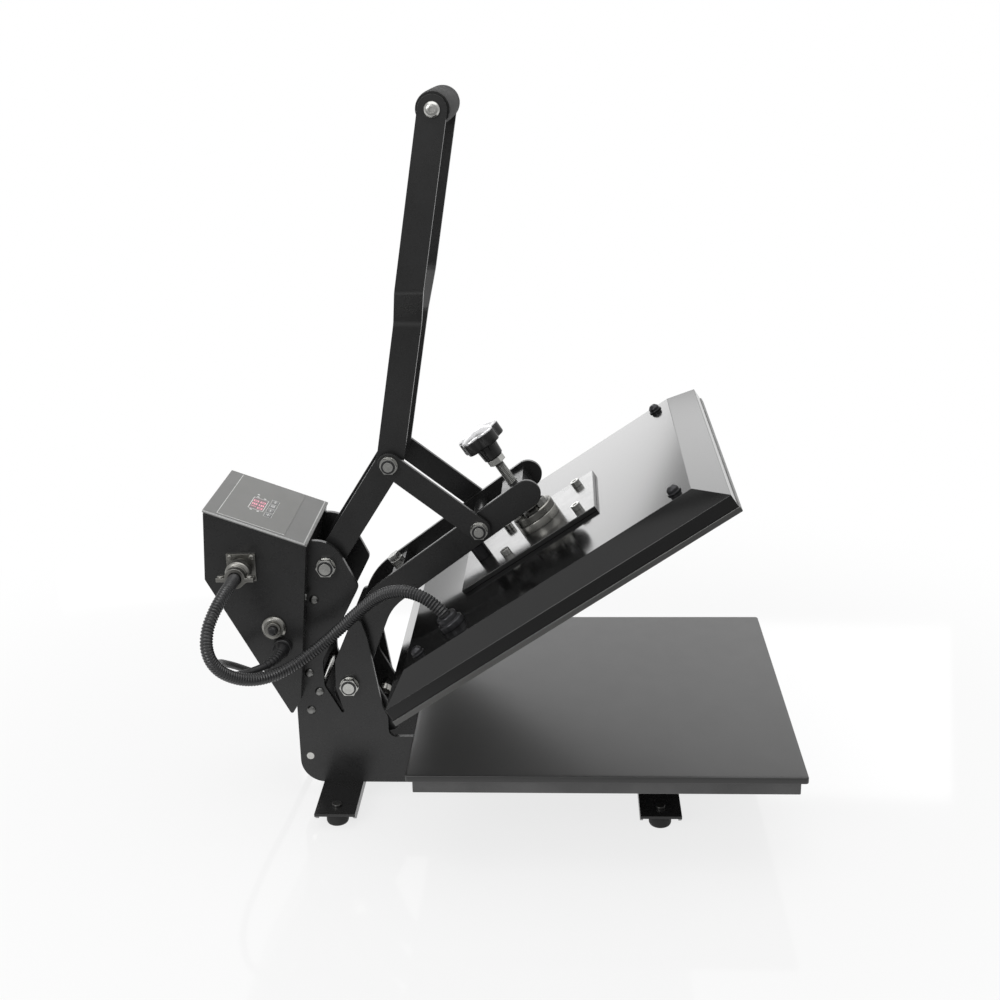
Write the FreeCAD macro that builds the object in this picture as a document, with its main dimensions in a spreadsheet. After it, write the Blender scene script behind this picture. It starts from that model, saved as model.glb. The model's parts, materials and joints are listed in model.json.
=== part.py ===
"""Clamshell heat press with a 380 mm square platen, modelled open, in millimetres.

The frame has +X towards the operator, +Y across the machine and +Z up, with the bench at Z = 0.
Outlines are written from the middle of the silicone pad's top, which `HOME` puts in its place.
"""
import FreeCAD, Part
import math
import os
import re
from types import SimpleNamespace

import Sketcher
from FreeCAD import Placement, Rotation, Vector

SIZES = {
    # place of the pad's top
    "pad_x": 104.6, "pad_top": 107.5,
    # lower platen
    "pad_side": 380, "pad_thick": 7, "board_side": 368, "board_thick": 14.5,
    "bar_thick": 12, "bar_wide": 30, "bar_long": 260, "bar_spacing": 200,
    # layers across the machine, measured from the middle
    "plate_thick": 5, "arm_half": 36, "frame_half": 47, "lever_half": 68,
    "washer_thick": 2.2, "side_gap": 0.3,
    # base
    "rail_depth": 53.7, "channel_wide": 42, "channel_long": 226, "channel_deep": 10, "channel_thick": 3,
    "rear_channel_x": -274, "front_channel_x": 58.5, "foot_dia": 23, "foot_spacing": 190, "foot_screw_dia": 6,
    # pivots
    "handle_pivot_x": -278.8, "handle_pivot_z": 157.1, "arm_pivot_x": -261.9, "arm_pivot_z": 24.9,
    "link_pivot_x": -123.2, "link_pivot_z": 194, "crank_radius": 125.5, "link_length": 111.5,
    "pivot_dia": 12, "knee_dia": 10, "pivot_clear": 0.08, "tube_wall": 5,
    # handle and links
    "crank_wide": 27, "link_wide": 23, "grip_x": -154.5, "grip_z": 602, "grip_dia": 33.5, "grip_bolt_dia": 8,
    "joggle_low": 400, "joggle_high": 436, "joggle_round": 10,
    # arms
    "arm_wide": 29, "strut_pin_x": -233.9, "strut_pin_z": -9.1, "strut_pin_dia": 8,
    # upper platen, measured along its own face and away from it
    "tilt": 33.9, "platen_x": -38.6, "platen_z": 158.1, "platen_side": 380, "lip_thick": 5.5,
    "core_side": 371, "core_rise": 9, "cover_side": 378, "cover_wall": 1.5, "skirt_top": 18.5, "cover_top": 33.5,
    "bevel_inset": 28.5, "screw_u": -3, "mount_long": 160, "mount_wide": 118, "mount_u": -18, "mount_thick": 5,
    "stud_u": -73, "stud_dia": 10, "block_low": 66, "block_high": 90, "block_long": 26,
    "rod_dia": 10, "seat_dia": 46, "seat_rise": 17, "knob_dia": 47,
    # gas strut
    "strut_base_x": -308, "strut_base_z": -58, "strut_dia": 18, "strut_rod_dia": 8,
    # control box
    "box_half": 65, "box_wall": 1.5, "panel_thick": 3, "slot_clear": 0.4, "key_long": 9, "key_wide": 6.5,
    # conduit and mains cord
    "fitting_u": -106, "fitting_y": -125, "hose_dia": 12.6, "hose_bore": 8.6, "hose_rib": 0.9, "hose_pitch": 3,
    "cord_dia": 7.5,
}

os.makedirs("parts", exist_ok=True)
doc = FreeCAD.newDocument("ClamshellHeatPress")
sheet = doc.addObject("Spreadsheet::Sheet", "Sizes")
for row, (alias, number) in enumerate(SIZES.items(), 1):
    sheet.set(f"A{row}", alias)
    sheet.set(f"B{row}", str(number))
    sheet.setAlias(f"B{row}", alias)
doc.recompute()
size = SimpleNamespace(**{alias: float(sheet.get(alias)) for alias in SIZES})

X, Y, Z = Vector(1, 0, 0), Vector(0, 1, 0), Vector(0, 0, 1)
NEAR, FAR = -1, 1
NODES = []
HOME = Placement(Vector(size.pad_x, 0, size.pad_top), Rotation())
PLATEN = HOME.multiply(Placement(Vector(size.platen_x, 0, size.platen_z), Rotation(Y, -size.tilt)))


# helpers for objects of the document

def bind(obj, prop, formula):
    """Drives a property by a formula of sheet names, or sets it when the value is a number."""
    if isinstance(formula, str):
        named = re.sub(r"[a-z_]+", lambda word: "Sizes." + word[0] if word[0] in SIZES else word[0], formula)
        obj.setExpression(prop, named)
    else:
        setattr(obj, prop, formula)
    return obj


def put(obj, base, direction=Z, frame=HOME):
    """Places an object so that its own Z axis runs along a direction of the frame."""
    obj.Placement = frame.multiply(Placement(Vector(*base), Rotation(Z, direction)))
    return obj


def node(label, obj):
    """Names an object as a sub-part that gets a file."""
    obj.Label = label
    NODES.append(obj)
    return obj


def cylinder(radius, height, base, direction=Z, frame=HOME):
    obj = doc.addObject("Part::Cylinder", "Cylinder")
    bind(obj, "Radius", radius)
    bind(obj, "Height", height)
    return put(obj, base, direction, frame)


def hexagon(across, height, base, direction=Z, frame=HOME):
    obj = doc.addObject("Part::Prism", "Prism")
    obj.Polygon = 6
    bind(obj, "Circumradius", across / math.sqrt(3))
    bind(obj, "Height", height)
    return put(obj, base, direction, frame)


def block(long, wide, high, corner, frame=HOME):
    obj = doc.addObject("Part::Box", "Box")
    bind(obj, "Length", long)
    bind(obj, "Width", wide)
    bind(obj, "Height", high)
    return put(obj, corner, Z, frame)


def cut(base, tool):
    obj = doc.addObject("Part::Cut", "Cut")
    obj.Base, obj.Tool = base, tool
    return obj


def common(base, tool):
    obj = doc.addObject("Part::Common", "Common")
    obj.Base, obj.Tool = base, tool
    return obj


def fuse(*pieces):
    obj = doc.addObject("Part::MultiFuse", "Fusion")
    obj.Shapes = list(pieces)
    return obj


def group(*pieces):
    """Separate solids of one node."""
    obj = doc.addObject("Part::Compound", "Group")
    obj.Links = list(pieces)
    return obj


def ring(outer, inner, height, base, direction=Z, frame=HOME):
    low = Vector(*base) - Vector(direction)
    bore = cylinder(inner, height, base, direction, frame)
    bore.Placement.Base = frame.multVec(low)
    bind(bore, "Height", height + 2 if not isinstance(height, str) else f"{height} + 2")
    return cut(cylinder(outer, height, base, direction, frame), bore)


# helpers for sketches

def rounded(corners, chamfer_below=0):
    """Lines and arcs of a closed outline whose corners are (x, z) or (x, z, radius).

    A corner whose radius is under chamfer_below gets a straight chamfer instead of an arc.
    """
    points = [Vector(c[0], c[1], 0) for c in corners]
    radii = [c[2] if len(c) > 2 else 0 for c in corners]
    ends = []
    for i, corner in enumerate(points):
        back = (points[i - 1] - corner).normalize()
        ahead = (points[(i + 1) % len(points)] - corner).normalize()
        half = back.getAngle(ahead) / 2
        run = radii[i] / math.tan(half)
        middle = (back + ahead).normalize() if radii[i] else Vector()
        centre = corner + middle * (radii[i] / math.sin(half))
        ends.append((corner + back * run, centre - middle * radii[i], corner + ahead * run))
    drawn = []
    for i, (first, crown, last) in enumerate(ends):
        if radii[i] >= chamfer_below and radii[i]:
            drawn.append(Part.Arc(first, crown, last))
        elif radii[i]:
            drawn.append(Part.LineSegment(first, last))
        following = ends[(i + 1) % len(ends)][0]
        if last.distanceToPoint(following) > 1e-6:
            drawn.append(Part.LineSegment(last, following))
    return drawn


def sketch_in(body, role, name="Outline"):
    """A sketch on one of the body's own origin planes."""
    sketch = body.newObject("Sketcher::SketchObject", name)
    plane = next(f for f in body.Origin.OriginFeatures if f.Role == role)
    sketch.AttachmentSupport = [(plane, "")]
    sketch.MapMode = "FlatFace"
    return sketch


def draw(sketch, corners, holes=(), chamfer_below=0):
    """Draws a rounded outline and its holes, each (x, z, formula of its radius)."""
    sketch.addGeometry(rounded(corners, chamfer_below), False)
    for number, (x, z, radius) in enumerate(holes):
        driven = isinstance(radius, str)
        circle = sketch.addGeometry(Part.Circle(Vector(x, z, 0), Z, 4 if driven else radius), False)
        if driven:
            rule = sketch.addConstraint(Sketcher.Constraint("Radius", circle, 4))
            sketch.renameConstraint(rule, f"Hole{number}")
            bind(sketch, f"Constraints.Hole{number}", radius)
    return sketch


def padded(corners, length, holes=(), role="XZ_Plane", middle=False):
    """A body with one padded sketch. A sketch on the XZ plane grows towards +Y."""
    body = doc.addObject("PartDesign::Body", "Body")
    sketch = draw(sketch_in(body, role), corners, holes)
    pad = body.newObject("PartDesign::Pad", "Pad")
    pad.Profile = sketch
    bind(pad, "Length", length)
    pad.Midplane = middle
    pad.Reversed = role == "XZ_Plane" and not middle
    sketch.Visibility = False
    return body


def turned(corners, base=(0, 0, 0), direction=Z, frame=HOME):
    """A body turned about its own Z axis from (radius, height) corners; small edges are chamfered."""
    body = doc.addObject("PartDesign::Body", "Turned")
    sketch = draw(sketch_in(body, "XZ_Plane", "Profile"), corners, chamfer_below=1.6)
    spin = body.newObject("PartDesign::Revolution", "Revolution")
    spin.Profile = sketch
    spin.ReferenceAxis = (sketch, ["V_Axis"])
    spin.Angle = 360
    return put(body, base, direction, frame)


def band(path, half, knee=20):
    """Outline of a flat bar of even width along a path, with round ends."""
    path = [Vector(x, z, 0) for x, z in path]
    left, right = [], []
    for i, point in enumerate(path):
        before = (point - path[i - 1]).normalize() if i else (path[1] - point).normalize()
        after = (path[i + 1] - point).normalize() if i + 1 < len(path) else before
        side = Vector(-(before + after).y, (before + after).x, 0).normalize()
        reach = half / side.dot(Vector(-after.y, after.x, 0))
        push = before * (-half if i == 0 else half if i + 1 == len(path) else 0)
        bend = knee if 0 < i < len(path) - 1 else half - 0.01
        left.append((*(point + push + side * reach)[:2], bend))
        right.append((*(point + push - side * reach)[:2], bend))
    return left + right[::-1]


def sides(make):
    """Calls make for the near side and for the far side."""
    return [make(NEAR), make(FAR)]


def across(side, outer, inner):
    """Lower Y of a layer that lies between two distances from the middle."""
    return -outer if side == NEAR else inner


# pivots

A = Vector(size.handle_pivot_x, 0, size.handle_pivot_z)
B = Vector(size.arm_pivot_x, 0, size.arm_pivot_z)
D = Vector(size.link_pivot_x, 0, size.link_pivot_z)
span = D - A
lift = math.acos((size.crank_radius ** 2 + span.Length ** 2 - size.link_length ** 2)
                 / (2 * size.crank_radius * span.Length))
knee_angle = math.atan2(span.z, span.x) + lift
C = A + Vector(math.cos(knee_angle), 0, math.sin(knee_angle)) * size.crank_radius
GRIP = Vector(size.grip_x, 0, size.grip_z)


def swung(point, centre, degrees):
    """A point turned about the Y axis through a centre."""
    return centre + Rotation(Y, degrees).multVec(point - centre)


closed_span = swung(D, B, size.tilt) - A
fold = math.acos((size.crank_radius ** 2 + closed_span.Length ** 2 - size.link_length ** 2)
                 / (2 * size.crank_radius * closed_span.Length))
closed_angle = math.atan2(closed_span.z, closed_span.x) - fold
KNEE_CLOSED = A + Vector(math.cos(closed_angle), 0, math.sin(closed_angle)) * size.crank_radius
arm_inner = size.arm_half - size.plate_thick
frame_inner = size.frame_half - size.plate_thick
link_inner = size.arm_half + size.washer_thick + size.side_gap
link_outer = link_inner + size.plate_thick
bar_top = -size.pad_thick - size.board_thick
rail_top = bar_top - size.bar_thick - 1.5
rail_low = rail_top - size.rail_depth

# lower platen

pad_block = block("pad_side", "pad_side", "pad_thick", (-size.pad_side / 2, -size.pad_side / 2, -size.pad_thick))
node("silicone_pad", pad_block)
board = block("board_side", "board_side", "board_thick", (-size.board_side / 2, -size.board_side / 2, bar_top))
node("lower_platen", board)


def support_bar(x):
    """One flat bar across the two rails, with a shallow seat over each rail."""
    low = bar_top - size.bar_thick
    bar = block("bar_wide", "bar_long", "bar_thick", (x - size.bar_wide / 2, -size.bar_long / 2, low))
    pads = [block("bar_wide", "plate_thick", 1.5,
                  (x - size.bar_wide / 2, across(side, size.frame_half, frame_inner), rail_top))
            for side in (NEAR, FAR)]
    return fuse(bar, *pads)


BAR_PLACES = [k * size.bar_spacing / 2 - 30 for k in (-1, 1)]
node("platen_support_bars", group(*[support_bar(x) for x in BAR_PLACES]))
base_screws = []
for x in BAR_PLACES:
    for y in (-size.bar_long / 2 + 18, size.bar_long / 2 - 18):
        base_screws.append(hexagon(13, 5.3, (x, y, bar_top - size.bar_thick - 5.3)))

# side plates: a rear tower for the handle pivot, a front tower for the arm pivot, and a rail

FRAME_SCREWS = ((-293.5, 120.8), (-303.2, 38.7), (-293.8, 17.3), (-303.7, -4))
side_outline = [
    (-318.5, rail_low, 26), (-318.5, 184.5, 4), (-270.6, 184.5, 30), (-246.9, 134.5, 8), (-288.4, 53.5, 18),
    (-288.4, 24.3, 12), (-265.8, -17.6, 1.5), (-276.6, 22, 12), (-275.6, 52, 14), (-250.8, 109.7, 6),
    (-241.2, 78, 30), (-228.9, 0, 12), (-223.5, -12, 6), (-223.5, rail_top, 8), (92, rail_top, 10),
    (92, rail_low, 4)]
side_holes = [(A.x, A.z, "pivot_dia / 2 + pivot_clear"), (B.x, B.z, "pivot_dia / 2 + pivot_clear"),
              (size.strut_base_x, size.strut_base_z, "strut_pin_dia / 2")]
side_holes += [(x, z, 2.6) for x, z in FRAME_SCREWS]


def side_plate(side):
    body = padded(side_outline, "plate_thick", side_holes)
    put(body, (0, across(side, size.frame_half, frame_inner), 0))
    return body


for side, label in ((NEAR, "side_plate_near"), (FAR, "side_plate_far")):
    node(label, side_plate(side))


def foot_channel(x):
    """Cross channel with its web on top and flanges whose ends are cut at a slant."""
    half, wide, deep = size.channel_long / 2, size.channel_wide, size.channel_deep
    outline = [(-half, 0), (half, 0), (half, -size.channel_thick), (half - 9, -deep), (9 - half, -deep),
               (-half, -size.channel_thick)]
    body = padded(outline, "channel_wide", role="YZ_Plane", middle=True)
    put(body, (x, 0, rail_low))
    inside = block("channel_wide - 2 * channel_thick", "channel_long + 2", "channel_deep",
                   (x - wide / 2 + size.channel_thick, -half - 1, rail_low - size.channel_thick - deep))
    screws = [cylinder("foot_screw_dia / 2", 20, (x, k * size.foot_spacing / 2, rail_low - 10)) for k in (-1, 1)]
    return cut(body, fuse(inside, *screws))


node("foot_channels", group(foot_channel(size.rear_channel_x), foot_channel(size.front_channel_x)))

foot_high = size.pad_top + rail_low - size.channel_thick
foot_r = size.foot_dia / 2
FOOT_PLACES = [(x, k * size.foot_spacing / 2) for x in (size.rear_channel_x, size.front_channel_x)
               for k in (-1, 1)]
feet = []
for x, y in FOOT_PLACES:
    low = rail_low - size.channel_thick - foot_high
    feet.append(turned([(3.1, foot_high), (3.1, 4), (0, 4), (0, 0), (foot_r - 1, 0, 2.5), (foot_r, 3, 2),
                        (foot_r, foot_high)], (x, y, low)))
    shank = cylinder("foot_screw_dia / 2 - 0.05", 12.6, (x, y, rail_low - 10))
    base_screws.append(fuse(cylinder(5, 2.6, (x, y, rail_low)), shank))
node("rubber_feet", group(*feet))

# frame spacers, their screws, the strut's base pin

spacers = [cylinder(4, 2 * frame_inner, (x, -frame_inner, z), Y) for x, z in FRAME_SCREWS]
for x, z in FRAME_SCREWS:
    base_screws += sides(lambda s: turned([(0, 0), (4.7, 0), (4.7, 1, 0.9), (3, 2.6, 0.9), (0, 2.6)],
                                          (x, s * size.frame_half, z), Y * s))
spacers.append(cylinder("strut_pin_dia / 2 - 0.02", 2 * size.frame_half,
                        (size.strut_base_x, -size.frame_half, size.strut_base_z), Y))

# pivot shafts, nuts and spacer bushes of the frame


def flange_nut(place, side, start, bore, across_flats, flange, thick):
    """Nut with a round flange against the plate and a hexagon outward."""
    outward = Y * side
    foot = (place.x, side * start, place.z)
    body = fuse(cylinder(flange / 2, 2, foot, outward), hexagon(across_flats, thick, foot, outward))
    return cut(body, cylinder(bore, thick + 1, (place.x, side * (start - 0.5), place.z), outward))


shaft_end = size.frame_half + 9.5
shafts = [cylinder("pivot_dia / 2", 2 * shaft_end, (p.x, -shaft_end, p.z), Y) for p in (A, B)]
nuts = [flange_nut(p, s, size.frame_half, size.pivot_dia / 2 + 0.05, 17, 19.5, 8) for p in (A, B)
        for s in (NEAR, FAR)]
node("pivot_bolts", group(*shafts, *nuts))
bush = size.arm_half + size.side_gap
spacers += [ring("pivot_dia / 2 + 3.5", "pivot_dia / 2 + 0.1", frame_inner - bush,
                 (p.x, across(s, frame_inner, bush), p.z), Y) for p in (A, B) for s in (NEAR, FAR)]
node("frame_spacers", group(*spacers))

# handle: two bent levers, crank tube, knee tube and bolt, grip

lever_path = band([(A.x, A.z), (C.x, C.z), (GRIP.x, GRIP.z)], size.crank_wide / 2)
lever_holes = [(A.x, A.z, "pivot_dia / 2 + pivot_clear"), (C.x, C.z, "knee_dia / 2 + 0.03"),
               (GRIP.x, GRIP.z, "grip_bolt_dia / 2 + 0.1")]


def lever(side):
    """A flat lever outline kept where it meets a strip bent outwards above the knee."""
    thick, low, high = size.plate_thick, size.joggle_low, size.joggle_high
    start, end = size.arm_half, size.lever_half
    slope = math.atan2(end - start, high - low)
    shift = thick * math.tan(slope / 2)
    strip = [(start, A.z - 40), (start, low + shift, size.joggle_round + thick), (end, high + shift,
             size.joggle_round), (end, GRIP.z + 40), (end - thick, GRIP.z + 40),
             (end - thick, high + 2 * shift, size.joggle_round + thick),
             (start - thick, low + 2 * shift, size.joggle_round), (start - thick, A.z - 40)]
    bent = padded([(side * y, z, *r) for y, z, *r in strip], 420, role="YZ_Plane")
    put(bent, (-400, 0, 0))
    flat = padded(lever_path, 100, lever_holes)
    put(flat, (0, -100 if side == NEAR else 0, 0))
    return common(flat, bent)


for side, label in ((NEAR, "handle_lever_near"), (FAR, "handle_lever_far")):
    node(label, lever(side))
crank_tube = ring("pivot_dia / 2 + tube_wall", "pivot_dia / 2 + pivot_clear", 2 * arm_inner,
                  (A.x, -arm_inner, A.z), Y)
knee_tube = ring("knee_dia / 2 + tube_wall - 1", "knee_dia / 2 + 0.05", 2 * arm_inner, (C.x, -arm_inner, C.z), Y)
node("handle_tubes", group(crank_tube, knee_tube))
knee_end = link_outer + size.side_gap + 8
knee_bolt = cylinder("knee_dia / 2", 2 * knee_end, (C.x, -knee_end, C.z), Y)
knee_washers = [ring(9, "knee_dia / 2 + 0.05", "washer_thick",
                     (C.x, across(s, size.arm_half + size.washer_thick, size.arm_half), C.z), Y)
                for s in (NEAR, FAR)]
knee_nuts = [flange_nut(C, s, link_outer + size.side_gap, size.knee_dia / 2 + 0.05, 15, 18, 6.8)
             for s in (NEAR, FAR)]
node("knee_bolt", group(knee_bolt, *knee_washers, *knee_nuts))
grip_half = size.lever_half - size.plate_thick
grip_r = size.grip_dia / 2
grip_profile = [(4.3, 0), (grip_r - 1.5, 0, 1), (grip_r, 3, 2), (grip_r, 2 * grip_half - 3, 2),
                (grip_r - 1.5, 2 * grip_half, 1), (4.3, 2 * grip_half)]
node("grip", turned(grip_profile, (GRIP.x, -grip_half, GRIP.z), Y))
tie_rod = cylinder("grip_bolt_dia / 2", 2 * size.lever_half, (GRIP.x, -size.lever_half, GRIP.z), Y)
grip_heads = [cut(turned([(0, 0), (7.5, 0), (7.5, 1.6, 1), (5, 4, 1), (0, 4)],
                         (GRIP.x, s * size.lever_half, GRIP.z), Y * s),
                  hexagon(5, 3, (GRIP.x, s * (size.lever_half + 2), GRIP.z), Y * s)) for s in (NEAR, FAR)]
node("grip_bolt", group(tie_rod, *grip_heads))

# links, with the bolt ends that turn with them at the arm

link_path = band([(C.x, C.z), (D.x, D.z)], size.link_wide / 2)
link_holes = [(C.x, C.z, "knee_dia / 2 + pivot_clear"), (D.x, D.z, "knee_dia / 2")]
for side, label in ((NEAR, "link_near"), (FAR, "link_far")):
    link = padded(link_path, "plate_thick", link_holes)
    node(label, put(link, (0, across(side, link_outer, link_inner), 0)))
stub_start = link_inner - size.washer_thick + 0.6
link_ends = []
for s in (NEAR, FAR):
    link_ends.append(ring(9, "knee_dia / 2 + 0.05", link_inner - stub_start,
                          (D.x, across(s, link_inner, stub_start), D.z), Y))
    link_ends.append(cylinder("knee_dia / 2 - 0.02", link_outer + 8 - stub_start,
                              (D.x, s * stub_start, D.z), Y * s))
    link_ends.append(flange_nut(D, s, link_outer, size.knee_dia / 2 + 0.05, 15, 18, 6.8))
node("link_end_bolts", group(*link_ends))

# arms: elbow plates with a lobe in front of the lower pivot

along = Vector(math.cos(math.radians(36.66)), 0, math.sin(math.radians(36.66)))
upward = Vector(-along.z, 0, along.x)
half_arm = size.arm_wide / 2


def on_arm(reach, height):
    """Point on the straight part of the arm, from the link pivot."""
    return D + along * reach + upward * height


tip_high, tip_low = on_arm(73.4, half_arm), on_arm(73.4, -half_arm)
outer_elbow = on_arm((-243.1 + half_arm * along.z - D.x) / along.x, half_arm)
inner_elbow = on_arm((-215.6 - half_arm * along.z - D.x) / along.x, -half_arm)
arm_outline = [(outer_elbow.x, outer_elbow.z, 70), (tip_high.x, tip_high.z, half_arm - 0.1),
               (tip_low.x, tip_low.z, half_arm - 0.1), (inner_elbow.x, inner_elbow.z, 50), (-242.9, 35.5, 20),
               (-209, -30, 9), (-234, -37, 12), (-283, 6.5, 16)]
STRUT_EYE = Vector(size.strut_pin_x, 0, size.strut_pin_z)
arm_holes = [(B.x, B.z, "pivot_dia / 2 + pivot_clear"), (D.x, D.z, "knee_dia / 2"),
             (STRUT_EYE.x, STRUT_EYE.z, "strut_pin_dia / 2")]
for side, label in ((NEAR, "arm_near"), (FAR, "arm_far")):
    plate = padded(arm_outline, "plate_thick", arm_holes)
    node(label, put(plate, (0, across(side, size.arm_half, arm_inner), 0)))
cross = [ring("pivot_dia / 2 + tube_wall", "pivot_dia / 2 + pivot_clear", 2 * arm_inner,
              (B.x, -arm_inner, B.z), Y),
         ring("knee_dia / 2 + tube_wall - 1", "knee_dia / 2", 2 * arm_inner, (D.x, -arm_inner, D.z), Y)]
pin_half = size.arm_half + 0.5
node("arm_pins", group(cylinder("knee_dia / 2 - 0.02", 2 * pin_half, (D.x, -pin_half, D.z), Y),
                       cylinder("strut_pin_dia / 2 - 0.02", 2 * size.arm_half,
                                (STRUT_EYE.x, -size.arm_half, STRUT_EYE.z), Y)))

# cross block for the pressure screw, guide bar, elbow bar with its stop bolt

long, low, high = size.block_long, size.block_low, size.block_high
screw_block = block("block_long", 2 * arm_inner, "block_high - block_low",
                    (size.screw_u - long / 2, -arm_inner, low), PLATEN)
block_bore = cylinder("rod_dia / 2 + 0.3", high - low + 2, (size.screw_u, 0, low - 1), Z, PLATEN)
node("screw_block", cut(screw_block, block_bore))
guide_bar = block(16, 2 * arm_inner, 14, (size.stud_u - 8, -arm_inner, 65), PLATEN)
cross.append(cut(guide_bar, cylinder("stud_dia / 2 + pivot_clear", 16, (size.stud_u, 0, 64), Z, PLATEN)))
ELBOW = Placement(Vector(-206, 0, 137.7), Rotation(Y, -math.degrees(math.atan2(along.z, along.x))))
ELBOW = HOME.multiply(ELBOW)
elbow_bar = block(14, 2 * arm_inner, 14, (-7, -arm_inner, -7), ELBOW)
cross.append(cut(elbow_bar, cylinder(4.05, 16, (0, 0, -8), Z, ELBOW)))
node("arm_cross_members", group(*cross))
head_thick = 5.3
knee_over_elbow = ELBOW.inverse().multVec(HOME.multVec(swung(KNEE_CLOSED, B, -size.tilt)))
stop_head = knee_over_elbow.z - (size.knee_dia / 2 + size.tube_wall - 1) - size.side_gap - head_thick
stop_bolt = fuse(cylinder(4, stop_head + 10, (0, 0, -10), Z, ELBOW),
                 hexagon(13, head_thick, (0, 0, stop_head), Z, ELBOW))
stop_nut = cut(hexagon(13, 5, (0, 0, 7), Z, ELBOW), cylinder(4.05, 7, (0, 0, 6), Z, ELBOW))
node("stop_bolt", group(stop_bolt, stop_nut))

# upper platen: heating plate with a stepped core, element groove, insulation, cover

half_side, half_core = size.platen_side / 2, size.core_side / 2
plate_lip = block("platen_side", "platen_side", "lip_thick", (-half_side, -half_side, 0), PLATEN)
plate_core = block("core_side", "core_side", "core_rise", (-half_core, -half_core, size.lip_thick), PLATEN)
GROOVE = [(-150, -150), (150, -150), (150, -75), (-150, -75), (-150, 0), (150, 0), (150, 75), (-150, 75),
          (-150, 150), (150, 150)]


def serpentine(points, bend):
    """Lines and quarter arcs through flat points, as one wire at the height of the core's face."""
    level = size.lip_thick + size.core_rise
    spots = [Vector(x, y, level) for x, y in points]
    edges, start = [], spots[0]
    for before, corner, after in zip(spots, spots[1:], spots[2:]):
        first = corner + (before - corner).normalize() * bend
        last = corner + (after - corner).normalize() * bend
        middle = corner + ((first - corner) + (last - corner)) * (1 - math.sqrt(0.5))
        edges += [Part.LineSegment(start, first).toShape(), Part.Arc(first, middle, last).toShape()]
        start = last
    edges.append(Part.LineSegment(start, spots[-1]).toShape())
    return Part.Wire(edges)


def heater(radius):
    """Round section swept along the serpentine."""
    path = serpentine(GROOVE, 30)
    start = path.Vertexes[0].Point
    section = Part.Wire([Part.Circle(start, X, radius).toShape()])
    return path.makePipeShell([section], True, False)


channel = doc.addObject("Part::Feature", "HeaterGroove")
channel.Shape = heater(4.3)
channel.Placement = PLATEN
node("heating_plate", cut(fuse(plate_lip, plate_core), channel))
element = doc.addObject("Part::Feature", "Heater")
element.Shape = heater(4.1)
element.Placement = PLATEN
node("heating_element", element)


def shell(inset, rise, name):
    """Low box with a bevelled top: straight skirt and a wedge above it."""
    half = size.cover_side / 2 - inset
    base = size.lip_thick
    skirt = block(2 * half, 2 * half, size.skirt_top - base, (-half, -half, base - (1 if inset else 0)), PLATEN)
    skirt.Height = size.skirt_top - base + (1 if inset else 0)
    wedge = doc.addObject("Part::Wedge", name)
    top = half - size.bevel_inset
    wedge.Xmin, wedge.Xmax, wedge.Zmin, wedge.Zmax = -half, half, -half, half
    wedge.X2min, wedge.X2max, wedge.Z2min, wedge.Z2max = -top, top, -top, top
    wedge.Ymin, wedge.Ymax = size.skirt_top, size.cover_top - rise
    wedge.Placement = PLATEN.multiply(Placement(Vector(), Rotation(X, 90)))
    return fuse(skirt, wedge)


FITTING = (size.fitting_u, size.fitting_y)
cover_holes = [cylinder(6.2, 10, (*FITTING, size.cover_top - 5), Z, PLATEN)]
cover = cut(shell(0, 0, "BevelOuter"), fuse(shell(size.cover_wall, size.cover_wall, "BevelInner"), *cover_holes))
node("platen_cover", cover)
core_top = size.lip_thick + size.core_rise
node("insulation", block(300, 300, 9, (-150, -150, core_top + 4.4), PLATEN))

# mounting plate with its bolts, screw seat and guide stud

mount_low = size.cover_top
mount_top = size.cover_top + size.mount_thick
plate = block("mount_long", "mount_wide", "mount_thick",
              (size.mount_u - size.mount_long / 2, -size.mount_wide / 2, mount_low), PLATEN)
node("mounting_plate", plate)


def cap_screw(u, y, level, head, rise, frame=PLATEN):
    """Socket-head cap screw whose head stands on a face."""
    socket = hexagon(head * 0.45, rise, (u, y, level + rise / 2), Z, frame)
    return cut(cylinder(head / 2, rise, (u, y, level), Z, frame), socket)


mounting_bolts = [cap_screw(u, y, mount_top, 10, 6.5) for u in (-42.5, 43) for y in (-38, 38)]
screw_u, seat_r, seat_mid = size.screw_u, size.seat_dia / 2, size.seat_rise / 2
seat_base = turned([(6, 0), (seat_r, 0), (seat_r, seat_mid - 0.4, 0.6), (seat_r - 0.6, seat_mid),
                    (6, seat_mid)], (screw_u, 0, mount_top), Z, PLATEN)
seat_ring = turned([(6, seat_mid), (seat_r - 0.6, seat_mid), (seat_r, seat_mid + 0.6),
                    (seat_r, size.seat_rise, 1.2), (6, size.seat_rise)], (screw_u, 0, mount_top), Z, PLATEN)
node("screw_seat", group(seat_base, seat_ring))
seat_top = mount_top + size.seat_rise
seat_bolts = []
for turn in (-35, 90, 205):
    angle = math.radians(turn)
    spot = (screw_u + 16.5 * math.cos(angle), 16.5 * math.sin(angle), seat_top)
    seat_bolts.append(hexagon(11, 7, spot, Z, PLATEN))
node("mounting_bolts", group(*mounting_bolts, *seat_bolts))
stud_high = 84
node("guide_stud", turned([(0, 0), (8, 0), (8, 16, 1), (size.stud_dia / 2, 16),
                           (size.stud_dia / 2, stud_high - mount_top, 1), (0, stud_high - mount_top)],
                          (size.stud_u, 0, mount_top), Z, PLATEN))
cover_nuts = []
for u in (-145, 144):
    for y in (-143, 143):
        cover_nuts.append(turned([(0, 0), (7, 0), (7, 1.5), (5.8, 1.5), (5.8, 4.5, 2), (3, 7.5, 2), (0, 7.5)],
                                 (u, y, size.cover_top), Z, PLATEN))
node("cover_nuts", group(*cover_nuts))
fitting_rise = 13
hose_root = size.hose_dia / 2 - size.hose_rib
grip_bore = hose_root + 0.3
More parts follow.
